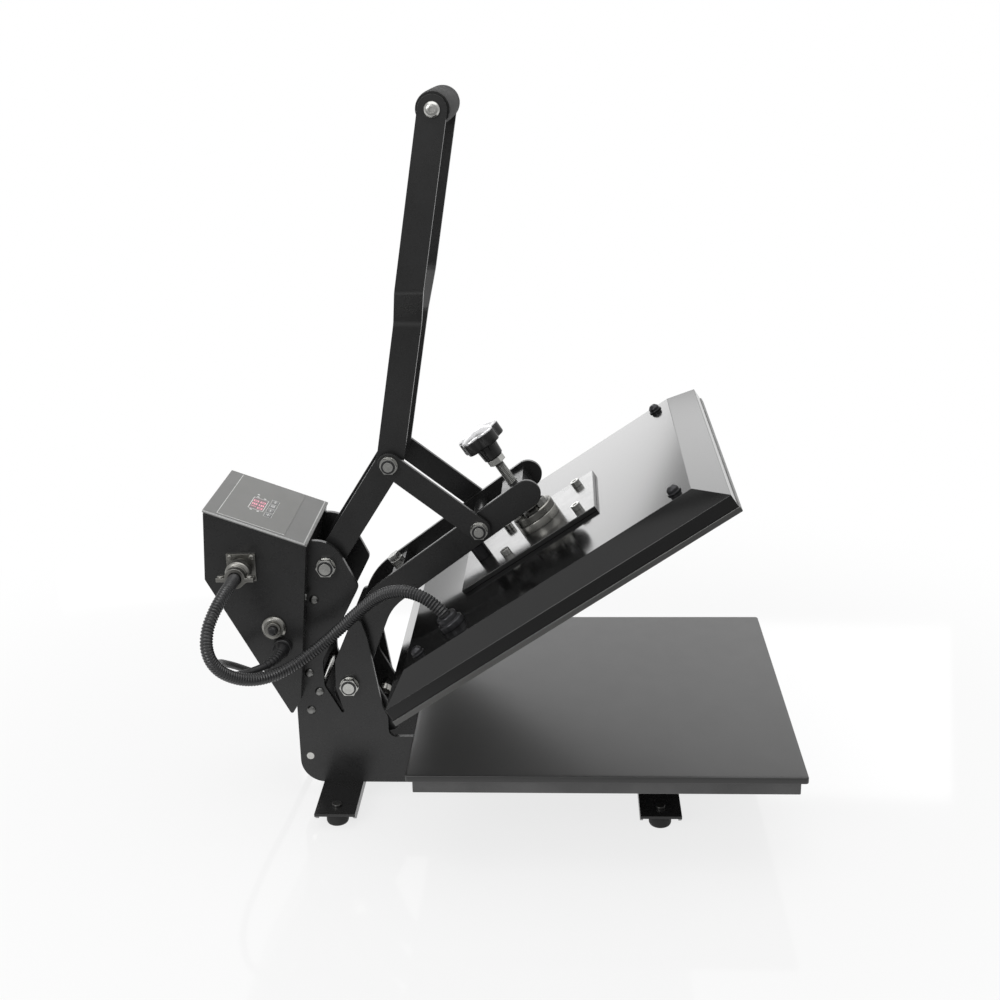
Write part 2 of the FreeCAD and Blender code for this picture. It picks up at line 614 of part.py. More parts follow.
node("conduit_fitting", turned([(grip_bore, 0), (13, 0), (13, 6, 1), (10.5, 7), (10.5, fitting_rise - 1, 1),
                                (9.5, fitting_rise), (grip_bore, fitting_rise)], (*FITTING, size.cover_top), Z,
                               PLATEN))

# pressure screw: rod, collar, lock nut, knob, cap

rod_r = size.rod_dia / 2
node("screw_rod", turned([(0, 0), (5.5, 0), (5.5, 3), (rod_r, 4), (rod_r, 92), (0, 92)],
                         (screw_u, 0, mount_top + 3), Z, PLATEN))
screw_collar = cut(hexagon(16, 6, (screw_u, 0, seat_top + 1), Z, PLATEN),
                   cylinder("rod_dia / 2 + 0.05", 8, (screw_u, 0, seat_top), Z, PLATEN))
lock_nut = cut(hexagon(16, 6.5, (screw_u, 0, 115), Z, PLATEN),
               cylinder("rod_dia / 2 + 0.05", 9, (screw_u, 0, 114), Z, PLATEN))
node("screw_nuts", group(screw_collar, lock_nut))
knob_low, lobe_r = 138, 10
hub = turned([(rod_r + 0.1, 121.5), (9, 121.5, 1), (11.5, 137), (19, knob_low, 1), (19, 151.5),
              (rod_r + 0.1, 151.5)], (screw_u, 0, 0), Z, PLATEN)
knob_parts = [hub]
for k in range(5):
    angle = math.radians(72 * k + 20)
    reach = size.knob_dia / 2 - lobe_r
    place = (screw_u + reach * math.cos(angle), reach * math.sin(angle), knob_low)
    knob_parts.append(cylinder(lobe_r, 13.5, place, Z, PLATEN))
node("knob", fuse(*knob_parts))
node("knob_cap", turned([(0, 151.5), (17, 151.5), (17.5, 152.5, 0.8), (12, 155.3, 8), (0, 156.5)],
                        (screw_u, 0, 0), Z, PLATEN))

# gas strut between the frame's base pin and the arms' lobes

STRUT_BASE = Vector(size.strut_base_x, 0, size.strut_base_z)
strut_line = STRUT_EYE - STRUT_BASE
strut_long = strut_line.Length
reach = strut_line.normalize()
STRUT = HOME.multiply(Placement(STRUT_BASE, Rotation(Z, reach)))
pin_r, strut_r, srod_r = size.strut_pin_dia / 2, size.strut_dia / 2, size.strut_rod_dia / 2
barrel = turned([(0, 6), (strut_r, 6, 1), (strut_r, 49, 2), (srod_r + 0.15, 50), (srod_r + 0.15, 46),
                 (strut_r - 1.8, 46), (strut_r - 1.8, 12), (0, 12)], (0, 0, 0), Z, STRUT)
lug = cylinder(8, 12, (0, -6, 0), Y, STRUT)
base_bore = cylinder("strut_pin_dia / 2 + pivot_clear", 14, (0, -7, 0), Y, STRUT)
node("strut_cylinder", cut(fuse(barrel, lug), base_bore))
eye_gap = 2.8
piston = turned([(0, 38), (strut_r - 2, 38), (strut_r - 2, 43), (srod_r, 43), (srod_r, strut_long - 6),
                 (0, strut_long - 6)], (0, 0, 0), Z, STRUT)
eye = cylinder(pin_r + eye_gap + 4, 12, (0, -6, strut_long), Y, STRUT)
node("strut_rod", cut(fuse(piston, eye), cylinder(pin_r + eye_gap, 14, (0, -7, strut_long), Y, STRUT)))

# control box: folded shell, sloping panel, film, window, keys

shell_outline = [(-395, 221.5, 1), (-399.1, 150.1, 3), (-320.4, -0.3, 2), (-310.3, 16.5, 2), (-294.7, 185, 1)]


def inset(corners, gap):
    """Convex outline moved inwards by a gap."""
    points = [Vector(c[0], c[1], 0) for c in corners]
    moved = []
    for i, point in enumerate(points):
        before = (point - points[i - 1]).normalize()
        after = (points[(i + 1) % len(points)] - point).normalize()
        side = Vector(-(before + after).y, (before + after).x, 0).normalize()
        spot = point + side * (gap / side.dot(Vector(-after.y, after.x, 0)))
        moved.append((spot.x, spot.y))
    return moved


outer_box = put(padded(shell_outline, "2 * box_half", middle=True), (0, 0, 0))
inner_outline = inset(shell_outline, size.box_wall)
inner_outline[0] = (inner_outline[0][0] + 1, 260)
inner_outline[-1] = (inner_outline[-1][0] + 1, 230)
inner_box = put(padded(inner_outline, "2 * (box_half - box_wall)", middle=True), (0, 0, 0))
slots = [block(60, "plate_thick + 2 * slot_clear", 230,
               (-318.5 - size.slot_clear, across(s, size.frame_half, frame_inner) - size.slot_clear, -30))
         for s in (NEAR, FAR)]
CONNECTOR, BREAKER, GLAND = (-360.5, 163.9), (-332.3, 97.8), (-325, 77)
wall_holes = [cylinder(radius, 4, (x, -size.box_half - 1, z), Y)
              for radius, (x, z) in ((9, CONNECTOR), (5, BREAKER), (6.2, GLAND))]
node("control_box", cut(outer_box, fuse(inner_box, *slots, *wall_holes)))

panel_line = Vector(-294.7 + 395, 0, 187.5 - 224)
PANEL = HOME.multiply(Placement(Vector(-396, 0, 221.9), Rotation(Y, math.degrees(math.atan2(36.5, 100.3)))))
panel_long = panel_line.Length + 2
KEYS = [(59.4, y) for y in (-26, -13, 0, 13)]
panel_half = size.box_half + 0.6


def openings(key_floor):
    """Room for the window and for each key, from a height over the panel's underside."""
    wells = [block("key_wide + 0.5", "key_long + 0.5", 3,
                   (u - size.key_wide / 2 - 0.25, y - size.key_long / 2 - 0.25, key_floor), PANEL)
             for u, y in KEYS]
    return fuse(block(15, 32, 3, (37.5, -21.5, 2), PANEL), *wells)


panel = block(panel_long, 2 * panel_half, "panel_thick", (0, -panel_half, 0), PANEL)
node("control_panel", cut(panel, openings(1.2)))
film = block(70, 2 * panel_half - 8, 0.4, (14, -panel_half + 4, size.panel_thick), PANEL)
node("panel_film", cut(film, openings(2)))
node("display_window", block(14.8, 31.8, 1.3, (37.6, -21.4, 2), PANEL))
for number, (u, y) in enumerate(KEYS, 1):
    node(f"key_{number}", block("key_wide", "key_long", 2.1,
                                (u - size.key_wide / 2, y - size.key_long / 2, 1.7), PANEL))

front_low, front_high = shell_outline[3], shell_outline[4]
front_rise = Vector(front_high[0] - front_low[0], 0, front_high[1] - front_low[1]).normalize()
front_out = Vector(front_rise.z, 0, -front_rise.x)
front_spot = Vector(front_low[0], 0, front_low[1]) + front_rise * 112
for y in (-56, 56):
    base_screws.append(turned([(0, 0), (4, 0), (4, 0.8, 0.7), (2.6, 2.2, 0.7), (0, 2.2)],
                              (front_spot.x, y, front_spot.z), front_out))
node("base_screws", group(*base_screws))

# connector, breaker and gland on the box's near wall

wall = -size.box_half


def on_wall(place, out=0):
    """Point at a distance in front of the near wall's outer face."""
    return place[0], wall - out, place[1]


connector_x, connector_z = CONNECTOR
flange = block(29, 2.5, 29, (connector_x - 14.5, wall - 2.5, connector_z - 14.5))
flange_bore = cylinder(9.1, 6, on_wall(CONNECTOR, 4), Y)
corner_screws = [turned([(0, 0), (2.8, 0), (2.8, 1, 0.6), (1.8, 1.9), (0, 1.9)],
                        (connector_x + 11 * i, wall - 2.5, connector_z + 11 * j), Y * -1)
                 for i in (-1, 1) for j in (-1, 1)]
node("connector_flange", group(cut(flange, flange_bore), *corner_screws))
node("connector_body", turned([(7, -16), (9, -16), (9, 8), (11, 8), (11, 10), (12.5, 10, 0.8), (12.5, 21, 1),
                               (10, 22), (10, 25, 1), (grip_bore, 25), (grip_bore, 6), (7, 6)],
                              on_wall(CONNECTOR), Y * -1))
clamp_ears = [block(9, 7, 4, (connector_x + start, wall - 33.5, connector_z - 3.4)) for start in (9.6, -18.6)]
clamp = ring(10.4, "hose_dia / 2 + 0.35", 7, on_wall(CONNECTOR, 26.5), Y * -1)
clamp_screws = [turned([(0, 0), (3.2, 0), (3.2, 2, 0.8), (0, 2)],
                       (connector_x + 14.1 * k, wall - 30, connector_z + 0.6)) for k in (-1, 1)]
node("connector_clamp", group(fuse(clamp, *clamp_ears), *clamp_screws))
breaker_ring = turned([(7.6, 0), (12.6, 0), (12.6, 2.4, 0.8), (10, 4.4), (7.6, 4.4)], on_wall(BREAKER), Y * -1)
breaker_core = fuse(ring(7.5, 4.8, 7, on_wall(BREAKER), Y * -1),
                    cylinder(4.9, "box_wall + 0.5", on_wall(BREAKER, 0.5), Y),
                    block(17, 30, 19, (BREAKER[0] - 8.5, wall + size.box_wall, BREAKER[1] - 9.5)))
node("breaker_body", group(breaker_ring, breaker_core))
node("breaker_button", turned([(0, 3.6), (4.5, 3.6), (4.5, 11.5, 1.2), (0, 12.5)], on_wall(BREAKER), Y * -1))
gland = turned([(size.cord_dia / 2 + 0.1, -8), (6, -8), (6, 0), (9.5, 0), (9.5, 6, 0.8), (8.3, 6.4),
                (8.3, 12, 3), (6.2, 18, 1), (size.cord_dia / 2 + 0.1, 18)], on_wall(GLAND), Y * -1)
gland_nut = cut(hexagon(18, 4, on_wall(GLAND, -size.box_wall), Y), cylinder(6.1, 6, on_wall(GLAND), Y))
node("cable_gland", group(gland, gland_nut))

# inside the box

module = block(50, 70, 30, (28, -42, -30), PANEL)
relay = block(40, 24, 40, (-372, size.box_half - size.box_wall - 24, 110))
node("box_electronics", group(module, relay))


# cords

def arc_path(points, note):
    """Wire of straight runs joined by arcs that take 0.45 of the shorter run; prints the radii."""
    spots = [Vector(*p) for p in points]
    edges, begin, radii = [], spots[0], []
    for before, corner, after in zip(spots, spots[1:], spots[2:]):
        back, ahead = before - corner, after - corner
        run = 0.45 * min(back.Length, ahead.Length)
        half = (math.pi - back.getAngle(ahead)) / 2
        radii.append(run / math.tan(half))
        first = corner + back.normalize() * run
        last = corner + ahead.normalize() * run
        toward = ((first + last) * 0.5 - corner).normalize()
        crown = corner + toward * (radii[-1] / math.cos(half) - radii[-1])
        edges += [Part.LineSegment(begin, first).toShape(), Part.Arc(first, crown, last).toShape()]
        begin = last
    edges.append(Part.LineSegment(begin, spots[-1]).toShape())
    print(note, "radii", [round(r) for r in radii])
    return Part.Wire(edges)


def tube(path, radius, note):
    """Round tube along a path; prints its volume against section times length."""
    start = path.Edges[0]
    section = Part.Wire([Part.Circle(start.valueAt(0), start.tangentAt(0), radius).toShape()])
    solid = path.makePipeShell([section], True, False)
    ratio = solid.Volume / (math.pi * radius ** 2 * path.Length)
    print(note, "length", round(path.Length), "volume ratio", round(ratio, 4))
    return solid


def feature(label, shape):
    """A document object for a shape made by Part's own functions."""
    obj = doc.addObject("Part::Feature", label)
    obj.Shape = shape
    obj.Placement = HOME
    return node(label, obj)


floor = -size.pad_top + size.cord_dia / 2 + 0.05
cord_r = size.cord_dia / 2
COIL = Vector(-120, 124, floor)
COIL_RADIUS, COIL_STEP, COIL_INWARD, COIL_OUTWARD = 49, size.cord_dia + 0.7, 4, 3
CORD_ROUTE = [(-325, -76, 77), (-325, -92, 77), (-331.7, -106.5, 76), (-344.5, -115.5, 73.5), (-359.5, -117, 69.5),
              (-373, -110, 65.5), (-382.5, -97.5, 62.5), (-388.5, -82.5, 60.5), (-393, -67, 58), (-395, -51.5, 52.5),
              (-393.5, -37, 44.5), (-389.5, -22, 35.5), (-384.5, -6.5, 25), (-378.5, 9, 13.8), (-371, 25.5, 2),
              (-363, 41.5, -10), (-355.8, 55.8, -21.5), (-348.9, 70.1, -33.8), (-341.5, 84.1, -47.5),
              (-332.9, 97.6, -61), (-322.3, 111.2, -73.1), (-310.2, 124.3, -84.2), (-296.5, 136.3, -94.5),
              (-280.2, 146.9, -102.4), (-261.3, 155.8, floor), (-241.4, 162.4, floor), (-220.9, 167, floor),
              (-200.2, 170.1, floor), (-179.2, 171.9, floor), (-158.2, 172.7, floor)]
CORD_ROUTE += [(COIL.x - 19, COIL.y + COIL_RADIUS, floor), (COIL.x, COIL.y + COIL_RADIUS, floor)]


def coil_edges():
    """Half turns that spiral in, climb one layer and spiral out again, each as two quarter arcs.

    A half turn that climbs keeps level ends, so the tube has no kink where turns meet.
    """
    radii = [COIL_RADIUS - k * COIL_STEP / 2 for k in range(COIL_INWARD + 1)]
    radii += [radii[-1] + k * COIL_STEP / 2 for k in range(1, COIL_OUTWARD + 1)]
    spot, edges = Vector(COIL.x, COIL.y + COIL_RADIUS, floor), []
    for k, radius in enumerate(radii):
        side = -1 if k % 2 == 0 else 1
        climb = COIL_STEP if k == COIL_INWARD else 0
        end = spot + Vector(0, 2 * radius * side, climb)
        centre = (spot + end) * 0.5
        top = centre + X * (-side * (end - spot).Length / 2)
        for first, last in ((spot, top), (top, end)):
            crown = centre + ((first - centre) + (last - centre)) * math.sqrt(0.5)
            edges.append(Part.Arc(first, crown, last).toShape())
        spot = end
    return edges, spot


def least_gap(edges, radius):
    """Least gap of a coil to itself, measured on points at least half a turn apart."""
    points = []
    for edge in edges:
        points += edge.discretize(24)[:-1]
    return min(p.distanceToPoint(q) for i, p in enumerate(points) for q in points[i + 46:]) - 2 * radius


feature("mains_cord_run", tube(arc_path(CORD_ROUTE, "cord"), cord_r, "cord"))
loops, coil_end = coil_edges()
print("coil's least gap", round(least_gap(loops, cord_r), 2))
plug_high = 12.2
tail = [tuple(coil_end), tuple(coil_end + Vector(22, 0, 0)), tuple(coil_end + Vector(47, -1, -5)),
        tuple(coil_end + Vector(72, -1.5, -4.5)), (coil_end.x + 96, coil_end.y - 1, plug_high - size.pad_top)]
tail_path = arc_path(tail, "tail")
feature("mains_cord_coil", tube(Part.Wire(loops + tail_path.Edges), cord_r, "coil"))
plug_at = Vector(*tail[-1])
toward_plug = (plug_at - Vector(*tail[-2])).normalize()
relief = turned([(0, 0), (5, 0), (6, 14), (0, 14)], plug_at, toward_plug)
plug_body = block(30, 26, 22, (plug_at.x + 12, plug_at.y - 13, plug_high - 11 - size.pad_top))
blades = [block(17, 1.5, 6.3, (plug_at.x + 42, plug_at.y - 0.75 + 6.35 * k, plug_high + 1 - size.pad_top))
          for k in (-1, 1)]
ground = cylinder(2.4, 20, (plug_at.x + 42, plug_at.y, plug_high - 5.5 - size.pad_top), X)
node("mains_plug", fuse(relief, plug_body, *blades, ground))

# ribbed conduit from the connector to the fitting on the cover

fitting_out = PLATEN.Rotation.multVec(Z)
fitting_mouth = PLATEN.multVec(Vector(*FITTING, size.cover_top)) - HOME.Base
HOSE_ROUTE = [(-360.5, wall - 15, 163.9), (-360.6, -102, 163.8), (-363.3, -123.8, 160.9), (-369.5, -143.1, 151.9),
              (-376.2, -156.4, 135.6), (-377.7, -160.3, 114.1), (-371.4, -154.6, 93.8), (-359.1, -143.3, 79.2),
              (-343.8, -130.2, 69.9), (-326.9, -116.1, 67.7), (-309.4, -102.9, 71.8), (-292.2, -92.5, 81.2),
              (-274.9, -86.2, 93.7), (-258.3, -84, 108.4), (-242.5, -85.8, 123.9), (-226.9, -91.2, 138.8),
              (-210.2, -99.7, 150.9), (-191.3, -109.9, 156.2), (-171.5, -119.1, 152.8)]
HOSE_ROUTE += [tuple(fitting_mouth + fitting_out * 16), tuple(fitting_mouth + fitting_out * 1)]


def ribbed_hose(path, bore, root, crest, pitch):
    """Ruled loft through four circles for each rib, with plain ends and an open bore."""
    ends = 2 * crest
    count = round((path.Length - 2 * ends) / pitch)
    pitch = (path.Length - 2 * ends) / count
    stations = [(0, root)]
    for k in range(count):
        start = ends + k * pitch
        stations += [(start, root), (start + 0.3 * pitch, crest), (start + 0.6 * pitch, crest),
                     (start + 0.9 * pitch, root)]
    stations.append((path.Length, root))
    lengths = [edge.Length for edge in path.Edges]
    circles, steady, index, passed = [], X, 0, 0.0
    for along_path, radius in stations:
        while index < len(lengths) - 1 and along_path > passed + lengths[index] + 1e-9:
            passed += lengths[index]
            index += 1
        edge = path.Edges[index]
        parameter = edge.getParameterByLength(min(max(along_path - passed, 0), lengths[index]))
        tangent = edge.tangentAt(parameter)
        steady = (steady - tangent * steady.dot(tangent)).normalize()
        circle = Part.Circle(edge.valueAt(parameter), tangent, radius)
        circle.XAxis = steady
        circles.append(Part.Wire([circle.toShape()]))
    outside = Part.makeLoft(circles, True, True)
    print("hose", count, "ribs, length", round(path.Length))
    return outside.cut(tube(path, bore, "hose bore"))


hose_path = arc_path(HOSE_ROUTE, "hose")
feature("conduit", ribbed_hose(hose_path, size.hose_bore / 2, hose_root, size.hose_dia / 2, size.hose_pitch))

doc.recompute()


def finish():
    """Checks every object and writes each sub-part's file."""
    faults = [obj.Name for obj in doc.Objects if {"Invalid", "Error"} & set(obj.State)]
    faults += [obj.Label for obj in NODES
               if obj.Shape.isNull() or not obj.Shape.isValid() or not obj.Shape.Solids]
    if faults:
        raise RuntimeError("failed: " + ", ".join(faults))
    for obj in NODES:
        obj.Shape.exportStep(f"parts/{obj.Label}.step")
    bounds = FreeCAD.BoundBox()
    for obj in NODES:
        bounds.add(obj.Shape.BoundBox)
    print(len(NODES), "nodes, bounds", bounds)


finish()
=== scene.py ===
"""Clamshell heat press dressed for a picture, in metres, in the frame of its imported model.

+X is towards the operator, +Y across the machine and +Z up, with the bench at Z = 0.
"""
import json
import logging
import math
from collections.abc import Sequence
from dataclasses import dataclass, field
from enum import Enum

import bmesh
import bpy
import numpy as np
from mathutils import Matrix, Vector

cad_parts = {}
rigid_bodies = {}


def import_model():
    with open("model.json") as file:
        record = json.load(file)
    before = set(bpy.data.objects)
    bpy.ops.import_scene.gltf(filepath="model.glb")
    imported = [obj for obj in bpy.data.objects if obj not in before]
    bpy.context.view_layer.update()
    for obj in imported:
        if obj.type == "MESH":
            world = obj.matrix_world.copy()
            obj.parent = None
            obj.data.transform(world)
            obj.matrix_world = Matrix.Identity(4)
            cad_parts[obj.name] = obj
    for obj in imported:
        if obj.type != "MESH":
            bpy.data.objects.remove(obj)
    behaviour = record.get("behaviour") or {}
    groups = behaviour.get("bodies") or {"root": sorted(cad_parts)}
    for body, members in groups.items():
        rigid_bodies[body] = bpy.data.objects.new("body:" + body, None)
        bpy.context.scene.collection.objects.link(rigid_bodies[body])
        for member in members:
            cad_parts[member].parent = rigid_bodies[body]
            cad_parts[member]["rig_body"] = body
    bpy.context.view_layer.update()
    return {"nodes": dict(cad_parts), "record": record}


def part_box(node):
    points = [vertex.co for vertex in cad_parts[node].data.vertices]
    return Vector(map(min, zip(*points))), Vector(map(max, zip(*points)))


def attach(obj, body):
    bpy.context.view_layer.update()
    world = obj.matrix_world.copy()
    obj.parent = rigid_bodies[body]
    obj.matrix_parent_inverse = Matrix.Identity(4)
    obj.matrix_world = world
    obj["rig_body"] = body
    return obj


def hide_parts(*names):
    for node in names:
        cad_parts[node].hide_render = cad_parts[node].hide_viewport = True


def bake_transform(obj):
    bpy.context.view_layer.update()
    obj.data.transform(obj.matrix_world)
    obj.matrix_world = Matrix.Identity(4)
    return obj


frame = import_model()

log = logging.getLogger("heat_press")
Point = tuple[float, float, float]
Span = tuple[float, float]
NEAR, FAR = -1, 1
WHITE = (1.0, 1.0, 1.0, 1.0)
# widths that the edges of bolts and of small fittings are rounded by, in metres
BOLT_EDGE = 0.00035
FITTING_EDGE = 0.0004


# places and axes

@dataclass(frozen=True)
class Place:
    """A working plane tilted about the machine's cross axis.

    A point is origin + u along + y across + h out, where along is (cos t, 0, sin t) and out is
    (-sin t, 0, cos t) for a tilt of t degrees.

    Attributes:
        origin: A point of the plane.
        tilt: Its tilt in degrees.
    """

    origin: Point
    tilt: float = 0.0

    def at(self, u: np.ndarray | float, y: np.ndarray | float, h: np.ndarray | float) -> np.ndarray:
        """Points of the shared frame from plane coordinates, which broadcast.

        Args:
            u: Distances along the plane.
            y: Distances across the machine.
            h: Heights over the plane.

        Returns:
            Points as (..., 3).
        """
        cos, sin = math.cos(math.radians(self.tilt)), math.sin(math.radians(self.tilt))
        u, y, h = np.broadcast_arrays(u, y, h)
        local = np.stack([u * cos - h * sin, y, u * sin + h * cos], -1)
        return local + np.array(self.origin)

    def out(self) -> np.ndarray:
        """Direction away from the plane."""
        return self.at(0.0, 0.0, 1.0) - self.at(0.0, 0.0, 0.0)


BENCH = Place((0.1046, 0.0, 0.1075))
PLATEN = Place(tuple(BENCH.at(-0.0386, 0.0, 0.1581)), 33.9)
PANEL = Place(tuple(BENCH.at(-0.396, 0.0, 0.2219)), -19.997)


@dataclass(frozen=True)
class Axis:
    """A line that round pieces are turned about.

    Attributes:
        origin: Where heights along it start.
        direction: Which way they grow.
    """

    origin: np.ndarray
    direction: np.ndarray

    def at(self, radius: np.ndarray, angle: np.ndarray, height: np.ndarray) -> np.ndarray:
        """Points about the axis, at origin + radius (cos a, sin a) square to it + height along it.

        Args:
            radius: Distances from the axis.
            angle: Angles a in radians.
            height: Distances along the axis.

        Returns:
            Points as (..., 3) of the three, which broadcast.
        """
        along = np.asarray(self.direction, float) / np.linalg.norm(self.direction)
        helper = np.array([0.0, 1.0, 0.0]) if abs(along[1]) < 0.9 else np.array([1.0, 0.0, 0.0])
        first = np.cross(helper, along)
        first /= np.linalg.norm(first)
        second = np.cross(along, first)
        radius, angle, height = (v[..., None] for v in np.broadcast_arrays(radius, angle, height))
        return self.origin + radius * (np.cos(angle) * first + np.sin(angle) * second) + height * along


# shader maths

class Value:
    """A socket that plain maths can be written with."""

    def __init__(self, graph: "Graph", socket: bpy.types.NodeSocket) -> None:
        """Wraps one output socket of a graph."""
        self.graph = graph
        self.socket = socket

    def _math(self, operation: str, first: "Value | float", second: "Value | float") -> "Value":
        """One Math node on two values."""
        return self.graph.add("ShaderNodeMath", {"operation": operation}, {0: first, 1: second})

    def __add__(self, other: "Value | float") -> "Value":
        """Sum."""
        return self._math("ADD", self, other)

    def __radd__(self, other: float) -> "Value":
        """Sum with a number in front."""
        return self._math("ADD", other, self)

    def __sub__(self, other: "Value | float") -> "Value":
        """Difference."""
        return self._math("SUBTRACT", self, other)

    def __rsub__(self, other: "Value | float") -> "Value":
        """Difference from a number."""
        return self._math("SUBTRACT", other, self)

    def __mul__(self, other: "Value | float") -> "Value":
        """Product."""
        return self._math("MULTIPLY", self, other)

    def __rmul__(self, other: float) -> "Value":
        """Product with a number in front."""
        return self._math("MULTIPLY", other, self)

    def between(self, low: float, high: float) -> "Value":
        """0 below low, 1 above high, and smooth between them."""
        return self.graph.add("ShaderNodeMapRange", {"interpolation_type": "SMOOTHSTEP"},
                              {"Value": self, "From Min": low, "From Max": high})


class Graph:
    """Node tree of one material or of the world."""

    def __init__(self, tree: bpy.types.NodeTree) -> None:
        """Takes the tree whose nodes it adds to."""
        self.tree = tree

    def join(self, value: object, socket: bpy.types.NodeSocket) -> None:
        """Links a value to a socket, or sets the socket when the value is plain.

        Args:
            value: What the socket gets.
            socket: An input of one of the tree's nodes.
        """
        if isinstance(value, Value):
            self.tree.links.new(value.socket, socket)
        else:
            socket.default_value = value

    def add(self, kind: str, settings: dict | None = None, inputs: dict | None = None,
            output: int | str = 0) -> Value:
        """Adds a node of any type.

        Args:
            kind: The node's type name.
            settings: Properties that are set first.
            inputs: Values or links by socket name or number.
            output: Which output socket is wanted.

        Returns:
            The wanted output as a value.
        """
        node = self.tree.nodes.new(kind)
        for name, setting in (settings or {}).items():
            setattr(node, name, setting)
        for key, value in (inputs or {}).items():
            self.join(value, node.inputs[key])
        return Value(self, node.outputs[output])

    def noise(self, where: Value, scale: float, detail: float = 2.0, roughness: float = 0.5) -> Value:
        """Cloudy pattern from 0 to 1."""
        return self.add("ShaderNodeTexNoise", {}, {"Vector": where, "Scale": scale, "Detail": detail,
                                                   "Roughness": roughness})

    def blend(self, share: Value | float, first: object, second: object) -> Value:
        """Colour between two colours."""
        return self.add("ShaderNodeMix", {"data_type": "RGBA"}, {0: share, 6: first, 7: second}, 2)


class Grain(Enum):
    """Kinds of fine relief."""

    PEEL = "even ripple of baked powder"
    BRUSHED = "straight hairlines"
    PLATED = "faint clouds of a plated part"
    CAST = "fine sand"
    FOAM = "closed cells"
    MATTE = "very fine pits of moulded rubber or plastic"


@dataclass(frozen=True)
class Finish:
    """One surface finish, named after its slot of the record.

    Attributes:
        slot: The record's material slot.
        colour: Base colour.
        roughness: Middle roughness.
        metallic: 1 for bare metal.
        specular: Specular level of a coated or moulded surface.
        coat: Weight of a clear coat.
        coat_roughness: Roughness of that coat.
        grain: Kind of relief.
        scale: Features of the relief for each metre.
        depth: Height of the relief in metres.
        mottle: Share by which the colour varies.
        scuff: Amount by which the roughness varies.
        tilt: Tilt of the hairlines in degrees.
        label: Tail of the material's name where a slot has several.
    """

    slot: str
    colour: Point
    roughness: float
    metallic: float = 0.0
    specular: float = 0.5
    coat: float = 0.0
    coat_roughness: float = 0.08
    grain: Grain = Grain.PLATED
    scale: float = 600.0
    depth: float = 1.2e-5
    mottle: float = 0.12
    scuff: float = 0.06
    tilt: float = 0.0
    label: str = ""

    def relief(self, graph: Graph, where: Value) -> Value:
        """Height pattern of the grain.

        Args:
            graph: The material's graph.
            where: The shaded point in the piece's own frame.

        Returns:
            The height, from 0 to about 1.
        """
        if self.grain is Grain.BRUSHED:
            stretched = graph.add("ShaderNodeMapping", {}, {
                "Vector": where, "Rotation": (0.0, math.radians(self.tilt), 0.0),
                "Scale": (self.scale * 0.02, self.scale, self.scale)})
            return graph.noise(stretched, 1.0, 3.0, 0.6)
        if self.grain is Grain.FOAM:
            cells = graph.add("ShaderNodeTexVoronoi", {"feature": "SMOOTH_F1"},
                              {"Vector": where, "Scale": self.scale})
            return cells * 0.8 + graph.noise(where, self.scale * 2.2, 2.0) * 0.4
        detail, roughness = {Grain.CAST: (5.0, 0.7), Grain.MATTE: (3.0, 0.65)}.get(self.grain, (1.0, 0.4))
        return graph.noise(where, self.scale, detail, roughness)

    def colours(self, graph: Graph, where: Value, height: Value) -> Value:
        """Base colour with slow clouds and a little of the grain in it.

        Args:
            graph: The material's graph.
            where: The shaded point in the piece's own frame.
            height: The grain's height there.

        Returns:
            A colour between one darker and one lighter by the mottle.
        """
        cloud = graph.noise(where, 14.0, 4.0, 0.6) * 0.7 + height * 0.3
        dark = tuple(c * (1 - self.mottle) for c in self.colour) + (1.0,)
        light = tuple(min(1.0, c * (1 + self.mottle)) for c in self.colour) + (1.0,)
        return graph.blend(cloud.between(0.3, 0.7), dark, light)

    def material(self) -> bpy.types.Material:
        """Makes the finish once and then finds it by name.

        Returns:
            The finish as a node material.
        """
        name = f"{self.slot}{self.label}"
        if name in bpy.data.materials and bpy.data.materials[name].get("made"):
            return bpy.data.materials[name]
        made = bpy.data.materials.new(name)
        made["made"] = True
        made.use_nodes = True
        graph = Graph(made.node_tree)
        shader = made.node_tree.nodes["Principled BSDF"]
        where = graph.add("ShaderNodeTexCoord", {}, {}, "Object")
        height = self.relief(graph, where)
        graph.join(self.colours(graph, where, height), shader.inputs["Base Color"])
        rubbed = graph.noise(where, 45.0, 5.0, 0.7).between(0.3, 0.75)
        graph.join(rubbed * (2 * self.scuff) + (self.roughness - self.scuff), shader.inputs["Roughness"])
        bump = graph.add("ShaderNodeBump", {}, {"Height": height, "Strength": 1.0, "Distance": self.depth})
        graph.join(bump, shader.inputs["Normal"])
        shader.inputs["Metallic"].default_value = self.metallic
        shader.inputs["Specular IOR Level"].default_value = self.specular
        shader.inputs["Coat Weight"].default_value = self.coat
        shader.inputs["Coat Roughness"].default_value = self.coat_roughness
        self.extra(shader)
        return made

    def extra(self, shader: bpy.types.Node) -> None:
        """Constants that only some finishes have."""


@dataclass(frozen=True)
class Lit(Finish):
    """A finish that gives light, such as a display's figures.

    Attributes:
        glow: Strength of the light.
    """

    glow: float = 1.0

    def extra(self, shader: bpy.types.Node) -> None:
        """Sets the light that it gives."""
        shader.inputs["Emission Color"].default_value = (*self.colour, 1.0)
        shader.inputs["Emission Strength"].default_value = self.glow


